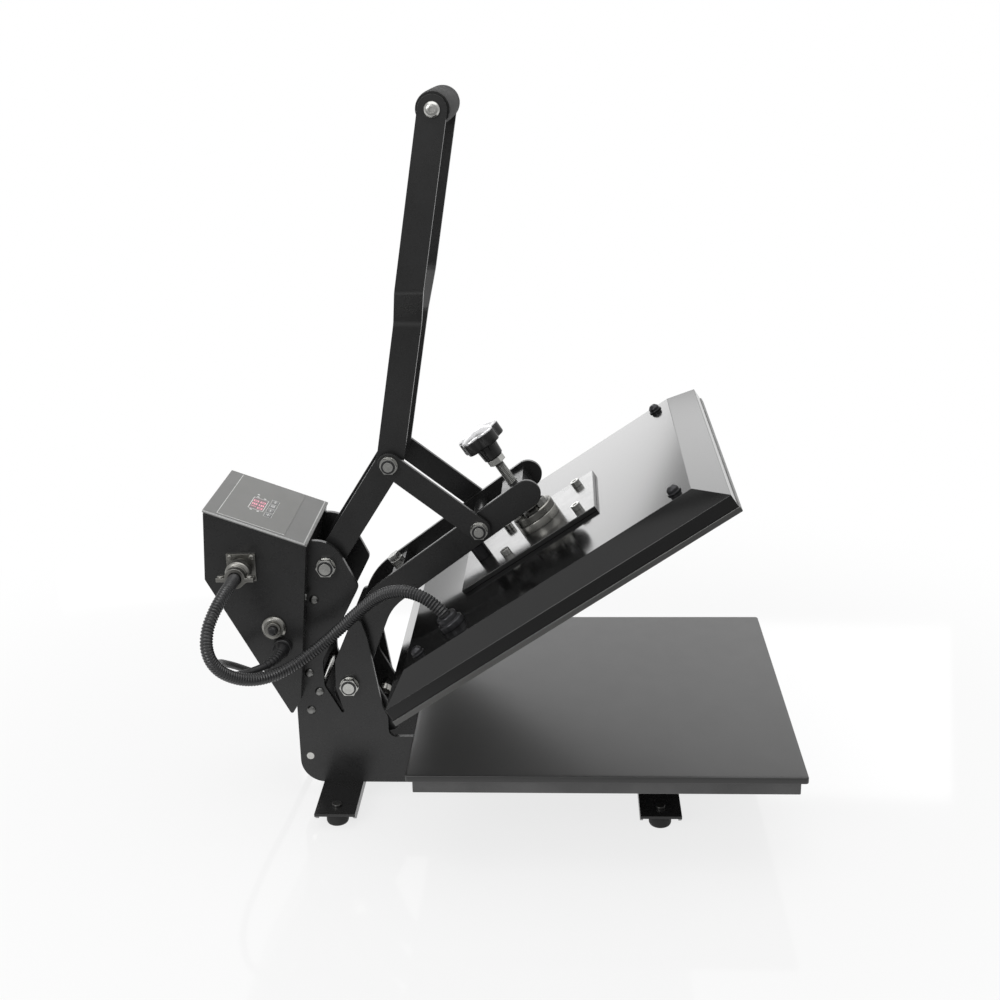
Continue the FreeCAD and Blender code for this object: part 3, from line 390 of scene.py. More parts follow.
POWDER = Finish("black_steel", (0.0165, 0.0165, 0.0166), 0.29, specular=0.45, grain=Grain.PEEL,
                scale=700, depth=8e-6, mottle=0.16, scuff=0.05)
ZINC = Finish("zinc_steel", (0.52, 0.52, 0.50), 0.27, 1.0, scale=420, depth=6e-6, mottle=0.14, scuff=0.09)
DULL_ZINC = Finish("zinc_steel", (0.21, 0.21, 0.204), 0.34, 1.0, scale=420, depth=6e-6, mottle=0.2,
                   label="_dull")
THREAD = Finish("zinc_steel", (0.19, 0.19, 0.183), 0.45, 1.0, scale=420, depth=4e-6, label="_thread")
OXIDE = Finish("dark_steel", (0.045, 0.045, 0.048), 0.34, 0.85, grain=Grain.CAST, scale=1800, depth=6e-6,
               scuff=0.08)
PLATE = Finish("dark_steel", (0.012, 0.012, 0.012), 0.34, specular=0.1, coat=1.0, coat_roughness=0.14,
               grain=Grain.CAST, scale=900, depth=2e-6, label="_gloss")
COVER = Finish("gloss_black", (0.005, 0.005, 0.005), 0.34, specular=0.0, coat=1.0, coat_roughness=0.11,
               grain=Grain.PEEL, scale=60, depth=6e-7, mottle=0.1, scuff=0.03)
STRIP = Finish("plate_aluminium", (0.15, 0.15, 0.147), 0.36, 1.0, grain=Grain.BRUSHED, scale=5200,
               depth=5e-6, mottle=0.10, scuff=0.04, tilt=33.9)
BOARD = Finish("board_aluminium", (0.105, 0.105, 0.105), 0.44, 0.7, grain=Grain.CAST, scale=2400,
               depth=1.6e-5, mottle=0.2)
SILICONE = Finish("silicone", (0.024, 0.024, 0.0237), 0.32, specular=0.6, grain=Grain.MATTE, scale=3200,
                  depth=6e-6, mottle=0.08, scuff=0.012)
FOOT_RUBBER = Finish("foot_rubber", (0.020, 0.020, 0.020), 0.68, specular=0.35, grain=Grain.MATTE,
                     scale=2600, depth=2.4e-5)
GRIP_FOAM = Finish("grip_foam", (0.017, 0.017, 0.017), 0.74, specular=0.35, grain=Grain.FOAM, scale=1500,
                   depth=9e-5, mottle=0.3)
NICKEL = Finish("nickel", (0.31, 0.305, 0.285), 0.32, 1.0, grain=Grain.CAST, scale=1500, depth=5e-6,
                mottle=0.2, scuff=0.09)
KNOB = Finish("knob_plastic", (0.009, 0.009, 0.009), 0.26, specular=0.45, grain=Grain.PEEL, scale=420,
              depth=5e-6)
CAP = Finish("knob_cap_metal", (0.90, 0.90, 0.91), 0.24, 1.0, scale=260, depth=2e-6, mottle=0.05,
             scuff=0.04)
PANEL_GREY = Finish("panel_grey", (0.182, 0.182, 0.178), 0.50, specular=0.35, grain=Grain.PEEL, scale=900,
                    depth=6e-6, mottle=0.05, scuff=0.02)
# lighter grey that paints highlight lines along the panel's edges
PANEL_HIGHLIGHT = Finish("panel_grey", (0.48, 0.48, 0.475), 0.40, specular=0.4, grain=Grain.PEEL, scale=900,
                    depth=8e-6, label="_edge")
FILM = Finish("film_grey", (0.190, 0.190, 0.183), 0.48, specular=0.35, grain=Grain.MATTE, scale=3800,
              depth=4e-6, mottle=0.04, scuff=0.02)
WINDOW = Finish("window", (0.185, 0.145, 0.150), 0.40, specular=0.3, scale=300, depth=1e-6, mottle=0.05,
                scuff=0.03)
KEY = Finish("key_plastic", (0.23, 0.23, 0.23), 0.50, specular=0.3, grain=Grain.MATTE, scale=3600,
             depth=1e-5)
# light print of the panel; the same material also paints highlight lines along the film's rear and near
# edges
PRINT_AND_HIGHLIGHT = Finish("key_plastic", (0.78, 0.78, 0.77), 0.50, grain=Grain.MATTE, scale=3600, depth=4e-6,
               label="_print")
FIGURES = Lit("window", (0.84, 0.34, 0.43), 0.4, mottle=0.04, label="_figures", glow=0.42)
BUTTON = Finish("button_black", (0.018, 0.018, 0.019), 0.32, specular=0.5, grain=Grain.MATTE, scale=2200,
                depth=8e-6)
RIBBED = Finish("ribbed_black", (0.021, 0.021, 0.022), 0.31, specular=0.6, grain=Grain.MATTE, scale=1900,
                depth=1.5e-5, mottle=0.2)
LEAD = Finish("cord_rubber", (0.016, 0.016, 0.017), 0.50, specular=0.45, grain=Grain.MATTE, scale=2600,
              depth=1.8e-5)
FIBRE = Finish("fibre_board", (0.70, 0.68, 0.62), 0.85, grain=Grain.FOAM, scale=900, depth=8e-5,
               mottle=0.15)
ELECTRONICS = Finish("electronics", (0.05, 0.05, 0.055), 0.5, grain=Grain.MATTE, scale=1400, depth=2e-5)
FINISHES = {finish.slot: finish for finish in (
    POWDER, ZINC, OXIDE, COVER, STRIP, BOARD, SILICONE, FOOT_RUBBER, GRIP_FOAM, NICKEL, KNOB, CAP,
    PANEL_GREY, FILM, WINDOW, KEY, BUTTON, RIBBED, LEAD, FIBRE, ELECTRONICS)}


# surfaces

@dataclass
class Skin:
    """A closed surface of points and quads.

    Attributes:
        points: Points as (count, 3).
        quads: Numbers of the four points of each face.
    """

    points: np.ndarray
    quads: np.ndarray

    def outward(self) -> "Skin":
        """Turns the faces outwards.

        Six times the volume is the sum over the quads a b c d of a . (b x c + c x d), and a
        negative one means that the faces point inwards.

        Returns:
            The same surface, with its quads reversed where they pointed inwards.
        """
        a, b, c, d = (self.points[self.quads[:, k]] for k in range(4))
        volume = np.einsum("ij,ij->i", a, np.cross(b, c) + np.cross(c, d)).sum()
        return self if volume > 0 else Skin(self.points, self.quads[:, ::-1])


def skin(grid: np.ndarray, rows_wrap: bool = False) -> Skin:
    """Joins a grid of points into a surface whose columns run round it.

    Args:
        grid: Points as (rows, columns, 3). A first or last row of equal points is a closed pole.
        rows_wrap: Whether the last row joins the first, as on a ring.

    Returns:
        The surface, with quad (r, c), (r, c + 1), (r + 1, c + 1), (r + 1, c) for each cell.
    """
    rows, columns = grid.shape[:2]
    r = np.arange(rows if rows_wrap else rows - 1)[:, None]
    c = np.arange(columns)[None, :]
    below, beside = (r + 1) % rows, (c + 1) % columns
    quads = np.stack([r * columns + c, r * columns + beside,
                      below * columns + beside, below * columns + c], -1)
    return Skin(grid.reshape(-1, 3), quads.reshape(-1, 4))


def round_angles(sides: int) -> np.ndarray:
    """Angles in radians of evenly spread points round an axis."""
    return np.arange(sides) * (2 * math.pi / sides)


def turned(axis: Axis, profile: Sequence[tuple[float, float]], sides: int, ring: bool = False,
           relief: np.ndarray | float = 0.0) -> Skin:
    """Surface of revolution: row k lies at the radius and height of the profile's point k.

    Args:
        axis: The line it turns about.
        profile: (radius, height) points in metres.
        sides: Points round the axis.
        ring: Whether the profile is a closed loop.
        relief: Addition to the radius as (rows, sides).

    Returns:
        The surface.
    """
    radius, height = np.array(profile, float).T
    height = height[:, None] + np.zeros(sides)
    return skin(axis.at(radius[:, None] + relief, round_angles(sides)[None, :], height), ring)


def prism(place: Place, outline: np.ndarray, low: float, high: float) -> Skin:
    """Upright sides of a convex outline, closed towards its middle above and below.

    Args:
        place: The plane that it stands on.
        outline: (u, y) points as (count, 2).
        low: Height of its underside.
        high: Height of its top.

    Returns:
        The surface.
    """
    middle = np.broadcast_to(outline.mean(0), outline.shape)
    flat = np.stack([middle, outline, outline, middle])
    heights = np.array([high, high, low, low])[:, None]
    return skin(place.at(flat[..., 0], flat[..., 1], heights))


def slab(place: Place, u: Span, y: Span, h: Span) -> Skin:
    """A flat block between two values of each plane coordinate."""
    corners = np.array([(u[0], y[0]), (u[1], y[0]), (u[1], y[1]), (u[0], y[1])])
    return prism(place, corners, *h)


def rounded_squares(half: np.ndarray, radius: np.ndarray, arc: int, side: int) -> np.ndarray:
    """Nested outlines of squares with round corners.

    Each corner is centre + radius (cos a, sin a) over its quarter turn, and the points between two
    corners are spread evenly on the straight side.

    Args:
        half: Half side of each outline.
        radius: Corner radius of each outline.
        arc: Points in a corner.
        side: Points on a side between corners.

    Returns:
        Points as (outlines, 4 * (arc + side), 2).
    """
    half, radius = np.asarray(half)[:, None, None], np.asarray(radius)[:, None, None]
    quarter = np.arange(4)[:, None] * (math.pi / 2)
    angle = quarter + np.linspace(0, math.pi / 2, arc)[None, :]
    centre = quarter + math.pi / 4
    reach = (half - radius) * math.sqrt(2)
    x = reach * np.cos(centre) + radius * np.cos(angle)
    y = reach * np.sin(centre) + radius * np.sin(angle)
    corner = np.stack([x, y], -1)
    following = np.roll(corner, -1, axis=1)[:, :, :1]
    share = np.linspace(0, 1, side + 2)[1:-1][None, None, :, None]
    between = corner[:, :, -1:] * (1 - share) + following * share
    return np.concatenate([corner, between], 2).reshape(len(corner), -1, 2)


def tube(path: np.ndarray, radius: np.ndarray, steady: Point, sides: int) -> Skin:
    """Round tube along a path.

    Each ring lies square to the path: its first axis is the steady direction less its part along
    the path, and its second is their cross product. The ends close on the path itself.

    Args:
        path: Centres of the rings.
        radius: Radius of each ring.
        steady: A direction that the path never runs along.
        sides: Points of a ring.

    Returns:
        The surface.
    """
    along = np.gradient(path, axis=0)
    along /= np.linalg.norm(along, axis=1, keepdims=True)
    first = np.array(steady) - along * (along @ np.array(steady))[:, None]
    first /= np.linalg.norm(first, axis=1, keepdims=True)
    second = np.cross(along, first)
    angle = round_angles(sides)[None, :, None]
    spoke = np.cos(angle) * first[:, None] + np.sin(angle) * second[:, None]
    rings = path[:, None] + spoke * radius[:, None, None]
    ends = np.broadcast_to(path[[0, -1]][:, None], (2, sides, 3))
    return skin(np.concatenate([ends[:1], rings, ends[1:]]))


def path_length(path: np.ndarray) -> float:
    """Length of a path, the sum of its steps."""
    return float(np.linalg.norm(np.diff(path, axis=0), axis=1).sum())


def spaced(path: np.ndarray, stations: np.ndarray) -> np.ndarray:
    """Points of a path at given distances from its start."""
    run = np.concatenate([[0.0], np.cumsum(np.linalg.norm(np.diff(path, axis=0), axis=1))])
    return np.stack([np.interp(stations, run, path[:, k]) for k in range(3)], -1)


def steps(profile: Sequence[tuple[float, float]], step: float) -> list[tuple[float, float]]:
    """Splits the sides of a profile evenly.

    Args:
        profile: (radius, height) points.
        step: The longest side that may be left.

    Returns:
        The same profile with more points.
    """
    found = []
    for (r0, h0), (r1, h1) in zip(profile, profile[1:]):
        count = max(1, math.ceil(math.hypot(r1 - r0, h1 - h0) / step))
        found += [(r0 + (r1 - r0) * k / count, h0 + (h1 - h0) * k / count) for k in range(count)]
    return found + [profile[-1]]


# pieces

def placed(name: str, data: bpy.types.ID) -> bpy.types.Object:
    """A new object of the scene that shows the given data."""
    made = bpy.data.objects.new(name, data)
    bpy.context.scene.collection.objects.link(made)
    return made


def new_mesh(name: str, points: np.ndarray, faces: np.ndarray, merge: float,
             flat: float = 0.0) -> bpy.types.Mesh:
    """A mesh in which corners that lie together are one.

    Args:
        name: The mesh's name.
        points: Corners as (count, 3).
        faces: Numbers of each face's corners.
        merge: Distance within which corners are joined.
        flat: Angle in degrees within which neighbouring faces are joined, or 0 for none.

    Returns:
        The mesh.
    """
    mesh = bpy.data.meshes.new(name)
    mesh.from_pydata(points.tolist(), [], faces.tolist())
    work = bmesh.new()
    work.from_mesh(mesh)
    bmesh.ops.remove_doubles(work, verts=work.verts, dist=merge)
    if flat:
        bmesh.ops.dissolve_limit(work, angle_limit=math.radians(flat), verts=work.verts, edges=work.edges)
    work.to_mesh(mesh)
    work.free()
    return mesh


def corners_of(mesh: bpy.types.Mesh) -> np.ndarray:
    """A mesh's points as (count, 3)."""
    found = np.empty(3 * len(mesh.vertices))
    mesh.vertices.foreach_get("co", found)
    return found.reshape(-1, 3)


def dress(piece: bpy.types.Object, finish: Finish) -> bpy.types.Object:
    """Gives a piece its finish's material in place of its own."""
    piece.data.materials.clear()
    piece.data.materials.append(finish.material())
    return piece


def shade(mesh: bpy.types.Mesh, sharp: float) -> None:
    """Smooth faces, with edges over an angle in degrees left sharp."""
    mesh.polygons.foreach_set("use_smooth", np.ones(len(mesh.polygons), bool))
    mesh.set_sharp_from_angle(angle=math.radians(sharp))


def make(name: str, skins: Sequence[Skin], finish: Finish, body: str | None, *nodes: str,
         sharp: float = 35.0) -> bpy.types.Object:
    """Makes one piece from closed surfaces.

    Args:
        name: The piece's name.
        skins: Its surfaces.
        finish: What it is made of.
        body: The body that it rides on, or None, which leaves it on no body.
        nodes: CAD nodes that it stands for.
        sharp: Angle in degrees past which an edge stays sharp.

    Returns:
        The new object.
    """
    starts = np.cumsum([0] + [len(s.points) for s in skins[:-1]])
    points = np.concatenate([s.points for s in skins])
    faces = np.concatenate([s.outward().quads + start for s, start in zip(skins, starts)])
    mesh = new_mesh(name, points, faces, 1e-7)
    shade(mesh, sharp)
    piece = placed(name, mesh)
    dress(piece, finish)
    if nodes:
        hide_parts(*nodes)
    if body:
        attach(piece, body)
    log.info("%s: %d faces", name, len(mesh.polygons))
    return piece


def softened(node: str, width: float, segments: int = 2, finish: Finish | None = None,
             crease: float = 34.0) -> bpy.types.Object:
    """Copy of a CAD node with merged corners and rounded edges, which stands for it.

    Args:
        node: The CAD node.
        width: Width of the rounding in metres.
        segments: Steps of the rounding.
        finish: Its finish, or None for the one of its slot.
        crease: Angle in degrees past which an edge is rounded and not just smooth.

    Returns:
        The new object.
    """
    source = frame["nodes"][node]
    corners = np.empty(len(source.data.loops), np.int32)
    source.data.loops.foreach_get("vertex_index", corners)
    mesh = new_mesh(f"{node}_edged", corners_of(source.data), corners.reshape(-1, 3), 2e-6, 0.5)
    shade(mesh, crease)
    piece = placed(f"{node}_edged", mesh)
    rounding = piece.modifiers.new("Rounding", "BEVEL")
    rounding.width = width
    rounding.segments = segments
    rounding.limit_method = "ANGLE"
    rounding.angle_limit = math.radians(crease)
    rounding.harden_normals = True
    slots = {part["node"]: part["material_slot"] for part in frame["record"]["subparts"]}
    dress(piece, finish or FINISHES[slots[node]])
    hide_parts(node)
    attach(piece, source["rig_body"])
    log.info("%s: edges rounded by %.1f mm", node, width * 1000)
    return piece


def soften_all(nodes: Sequence[str], width: float, segments: int = 2) -> None:
    """Rounds the edges of several CAD nodes alike."""
    for node in nodes:
        softened(node, width, segments)


def spline(name: str, points: np.ndarray) -> bpy.types.Object:
    """A smooth curve of no thickness.

    Args:
        name: The curve's name.
        points: Its control points as (count, 3).

    Returns:
        The curve, which starts and ends at the first and last of them.
    """
    curve = bpy.data.curves.new(name, "CURVE")
    curve.dimensions = "3D"
    curve.resolution_u = 8
    line = curve.splines.new("NURBS")
    line.points.add(len(points) - 1)
    line.points.foreach_set("co", np.column_stack([points, np.ones(len(points))]).ravel())
    line.order_u = 3
    line.use_endpoint_u = True
    return placed(name, curve)


def centreline(curve: bpy.types.Object) -> np.ndarray:
    """Points that Blender draws a curve of no thickness through.

    Args:
        curve: The curve.

    Returns:
        Points as (count, 3).
    """
    mesh = bpy.data.meshes.new_from_object(curve)
    found = corners_of(mesh)
    bpy.data.meshes.remove(mesh)
    return found


# studio

@dataclass(frozen=True)
class Lamp:
    """A soft rectangular lamp that isn't seen itself.

    Attributes:
        name: The lamp's name.
        place: Where it stands.
        aim: The point that it shines at.
        size: Its two sides.
        power: Its power in watts.
    """

    name: str
    place: Point
    aim: Point
    size: Span
    power: float

    def build(self) -> None:
        """Adds the lamp to the scene."""
        data = bpy.data.lights.new(self.name, "AREA")
        data.shape = "RECTANGLE"
        data.size, data.size_y = self.size
        data.energy = self.power
        lamp = placed(self.name, data)
        lamp.location = self.place
        lamp.rotation_mode = "QUATERNION"
        lamp.rotation_quaternion = (Vector(self.aim) - Vector(self.place)).to_track_quat("-Z", "Y")
        lamp.visible_camera = False


@dataclass
class Studio:
    """Camera, pale floor, white background and soft lamps.

    Attributes:
        eye: Where the camera stands.
        yaw: Turn of the view towards -X, in radians.
        pitch: Downward tilt of the view, in radians.
        roll: Turn of the picture, in radians.
        lens: Focal length in millimetres on the sensor.
        sensor: Width of the sensor in millimetres.
        sky: Strength of the background where it is neither seen nor mirrored.
        sky_front: What a mirrored background loses in front.
        sky_rear: What it gains from front to rear.
        sky_turn: Y of a ray's direction where front ends and where rear begins.
        floor_half: Half side of the floor.
        floor_grey: Brightness of the floor's own surface.
        floor_roughness: Its roughness.
        floor_index: Its index of refraction.
        floor_specular: Its specular level.
        floor_front: Share by which its mirrored white is darker in front.
        floor_turn: Y where front ends and where rear begins.
        whiteness: Share of plain white in what the camera sees of the floor by the machine.
        fade: Distances from the machine between which the rest turns white.
        lamps: One overhead, one from the front left, and two behind that the cover and the pad mirror.
    """

    eye: Point = (0.06968, -1.37169, 0.78065)
    yaw: float = 0.0502926
    pitch: float = 0.3243447
    roll: float = -0.0199676
    lens: float = 50.948
    sensor: float = 36.0
    sky: float = 0.5
    sky_front: float = 0.05
    sky_rear: float = 0.32
    sky_turn: Span = (-0.5, 0.1)
    floor_half: float = 6.0
    floor_grey: float = 0.86
    floor_roughness: float = 0.06
    floor_index: float = 1.8
    floor_specular: float = 0.9
    floor_front: float = 0.7
    floor_turn: Span = (-0.75, -0.2)
    whiteness: float = 0.78
    fade: Span = (0.40, 1.0)
    lamps: tuple[Lamp, ...] = (
        Lamp("overhead", place=(0.1, -0.2, 2.4), aim=(0.0, 0.0, 0.2), size=(2.6, 2.2), power=24.0),
        Lamp("front", place=(-1.3, -2.0, 1.5), aim=(0.0, 0.0, 0.3), size=(1.4, 1.2), power=22.0),
        Lamp("low_behind", place=(-0.92, 2.85, 0.70), aim=(0.0, 0.0, 0.4), size=(1.25, 0.46), power=3.6),
        Lamp("high_behind", place=(0.25, 3.0, 1.43), aim=(0.1, 0.0, 0.1), size=(2.2, 0.58), power=6.2))

    def camera(self) -> None:
        """Stands the camera at the photograph's viewing angle.

        It looks along (-sin yaw cos pitch, cos yaw cos pitch, -sin pitch), with its right and top
        turned about that line by the roll.
        """
        data = bpy.data.cameras.new("camera")
        data.lens = self.lens
        data.sensor_width = self.sensor
        data.clip_start, data.clip_end = 0.05, 60.0
        level = Vector((math.cos(self.yaw), math.sin(self.yaw), 0.0))
        forward = Vector((-math.sin(self.yaw) * math.cos(self.pitch),
                          math.cos(self.yaw) * math.cos(self.pitch), -math.sin(self.pitch)))
        upward = level.cross(forward)
        right = level * math.cos(self.roll) + upward * math.sin(self.roll)
        top = upward * math.cos(self.roll) - level * math.sin(self.roll)
        turn = Matrix((right, top, -forward)).transposed()
        stand = placed("camera", data)
        stand.matrix_world = Matrix.Translation(self.eye) @ turn.to_4x4()
        bpy.context.scene.camera = stand

    def rays(self, graph: Graph) -> tuple[Value, Value]:
        """Tells seen and mirrored rays from the others.

        Args:
            graph: The graph of the world or of the floor.

        Returns:
            Whether a ray comes from the camera, and whether it was mirrored or let through.
        """
        path = graph.tree.nodes.new("ShaderNodeLightPath")
        seen, glossy, through = (Value(graph, path.outputs[f"Is {kind} Ray"])
                                 for kind in ("Camera", "Glossy", "Transmission"))
        return seen, (glossy + through).between(0.0, 1.0)

    def backdrop(self) -> None:
        """World that is white where it is seen, and lighter behind than in front where it is mirrored.

        Its strength is sky + seen (1 - sky) + mirrored (sky_rear rear - sky_front), with rear
        running smoothly from 0 in front to 1 behind.
        """
        world = bpy.data.worlds.new("backdrop")
        bpy.context.scene.world = world
        world.use_nodes = True
        graph = Graph(world.node_tree)
        seen, mirrored = self.rays(graph)
        direction = graph.add("ShaderNodeTexCoord", {}, {}, "Generated")
        rear = graph.add("ShaderNodeSeparateXYZ", {}, {0: direction}, "Y").between(*self.sky_turn)
        strength = seen * (1 - self.sky) + mirrored * (rear * self.sky_rear - self.sky_front) + self.sky
        ground = graph.tree.nodes["Background"]
        ground.inputs["Color"].default_value = WHITE
        graph.join(strength, ground.inputs["Strength"])

    def floor(self) -> None:
        """Pale, slightly polished floor that turns white to the camera and keeps the shadow.

        In mirrored rays its white falls by floor_front (1 - rear), with rear running smoothly from
        0 in front of the machine to 1 behind.
        """
        side = self.floor_half
        corners = [(-side, -side, 0), (side, -side, 0), (side, side, 0), (-side, side, 0)]
        mesh = bpy.data.meshes.new("floor")
        mesh.from_pydata(corners, [], [(0, 1, 2, 3)])
        ground = placed("floor", mesh)
        paint = bpy.data.materials.new("floor")
        paint.use_nodes = True
        graph = Graph(paint.node_tree)
        shader = paint.node_tree.nodes["Principled BSDF"]
        shader.inputs["Base Color"].default_value = (self.floor_grey, self.floor_grey, self.floor_grey, 1.0)
        shader.inputs["Roughness"].default_value = self.floor_roughness
        shader.inputs["IOR"].default_value = self.floor_index
        shader.inputs["Specular IOR Level"].default_value = self.floor_specular
        seen, mirrored = self.rays(graph)
        where = graph.add("ShaderNodeTexCoord", {}, {}, "Object")
        away = graph.add("ShaderNodeVectorMath", {"operation": "LENGTH"}, {0: where}, "Value")
        rear = graph.add("ShaderNodeSeparateXYZ", {}, {0: where}, "Y").between(*self.floor_turn)
        white = graph.add("ShaderNodeEmission", {}, {
            "Color": WHITE, "Strength": 1 - mirrored * (1 - rear) * self.floor_front})
        share = (seen + mirrored) * (away.between(*self.fade) * (1 - self.whiteness) + self.whiteness)
        own = Value(graph, shader.outputs[0])
        mixed = graph.add("ShaderNodeMixShader", {}, {0: share, 1: own, 2: white})
        graph.join(mixed, graph.tree.nodes["Material Output"].inputs["Surface"])
        mesh.materials.append(paint)

    def build(self) -> None:
        """Sets the whole studio up."""
        bpy.context.scene.view_settings.view_transform = "Standard"
        self.camera()
        self.backdrop()
        self.floor()
        for lamp in self.lamps:
            lamp.build()
        log.info("studio ready")


# cords

@dataclass
class Plug:
    """Moulded plug with a ribbed neck, two blades and a round ground pin.

    Attributes:
        start: Where the lead enters it.
        rows: Sections of the body as (x, half width, half height) in millimetres.
        neck_long: Length of the round neck.
        squareness: Power that gives a section behind the neck its square look.
        blade: Where a blade starts and ends along the plug.
        blade_out: Distance of a blade's middle from the plug's.
        blade_half: Half its thickness.
        blade_high: Its lower and upper edges.
        pin_low: Height of the ground pin under the plug's middle.
        pin: Its profile as (radius, distance from the blades' start).
    """

    start: np.ndarray
    rows: tuple[Point, ...] = (
        (0.0, 0.1, 0.1), (0.0, 5.0, 5.0), (3.0, 5.3, 5.3), (4.0, 4.7, 4.7), (6.0, 5.6, 5.6),
        (7.0, 5.0, 5.0), (9.0, 5.9, 5.9), (10.0, 5.4, 5.4), (12.0, 6.6, 6.4), (14.5, 10.4, 9.0),
        (18.0, 12.4, 10.4), (30.0, 13.0, 10.9), (39.5, 13.0, 11.0), (41.6, 12.2, 10.3),
        (42.0, 11.0, 9.2), (42.0, 0.1, 0.1))
    neck_long: float = 0.0125
    squareness: float = 0.55
    blade: Span = (0.040, 0.059)
    blade_out: float = 0.00635
    blade_half: float = 0.00075
    blade_high: Span = (-0.0021, 0.0042)
    pin_low: float = 0.0055
    pin: tuple[Span, ...] = ((0, 0), (0.0024, 0), (0.0024, 0.0195), (0.0014, 0.0218), (0, 0.0222))

    def body(self) -> bpy.types.Object:
        """Loft of the sections along X.

        A section is y = w |cos a|^p and z = h |sin a|^p with the signs of cos a and sin a, where p
        is 1 on the neck and the squareness behind it.

        Returns:
            The body.
        """
        x, wide, high = (np.array(self.rows) / 1000).T[:, :, None]
        cos, sin = np.cos(round_angles(56)), np.sin(round_angles(56))
        power = np.where(x < self.neck_long, 1.0, self.squareness)
        across = np.sign(cos) * np.abs(cos) ** power * wide
        upward = np.sign(sin) * np.abs(sin) ** power * high
        grid = np.stack([np.broadcast_to(x, across.shape), across, upward], -1) + self.start
        return make("plug_body", [skin(grid)], LEAD, "base", "mains_plug", sharp=50)

    def pins(self) -> bpy.types.Object:
        """Blades and ground pin, which start inside the body.

        Returns:
            The piece that holds all three.
        """
        nose = Place(tuple(self.start))
        blades = [slab(nose, self.blade, (self.blade_out * k - self.blade_half,
                                          self.blade_out * k + self.blade_half), self.blade_high)
                  for k in (-1, 1)]
        line = Axis(self.start + np.array([self.blade[0], 0.0, -self.pin_low]), np.array([1.0, 0.0, 0.0]))
        return make("plug_pins", [*blades, turned(line, self.pin, 28)], NICKEL, "base")


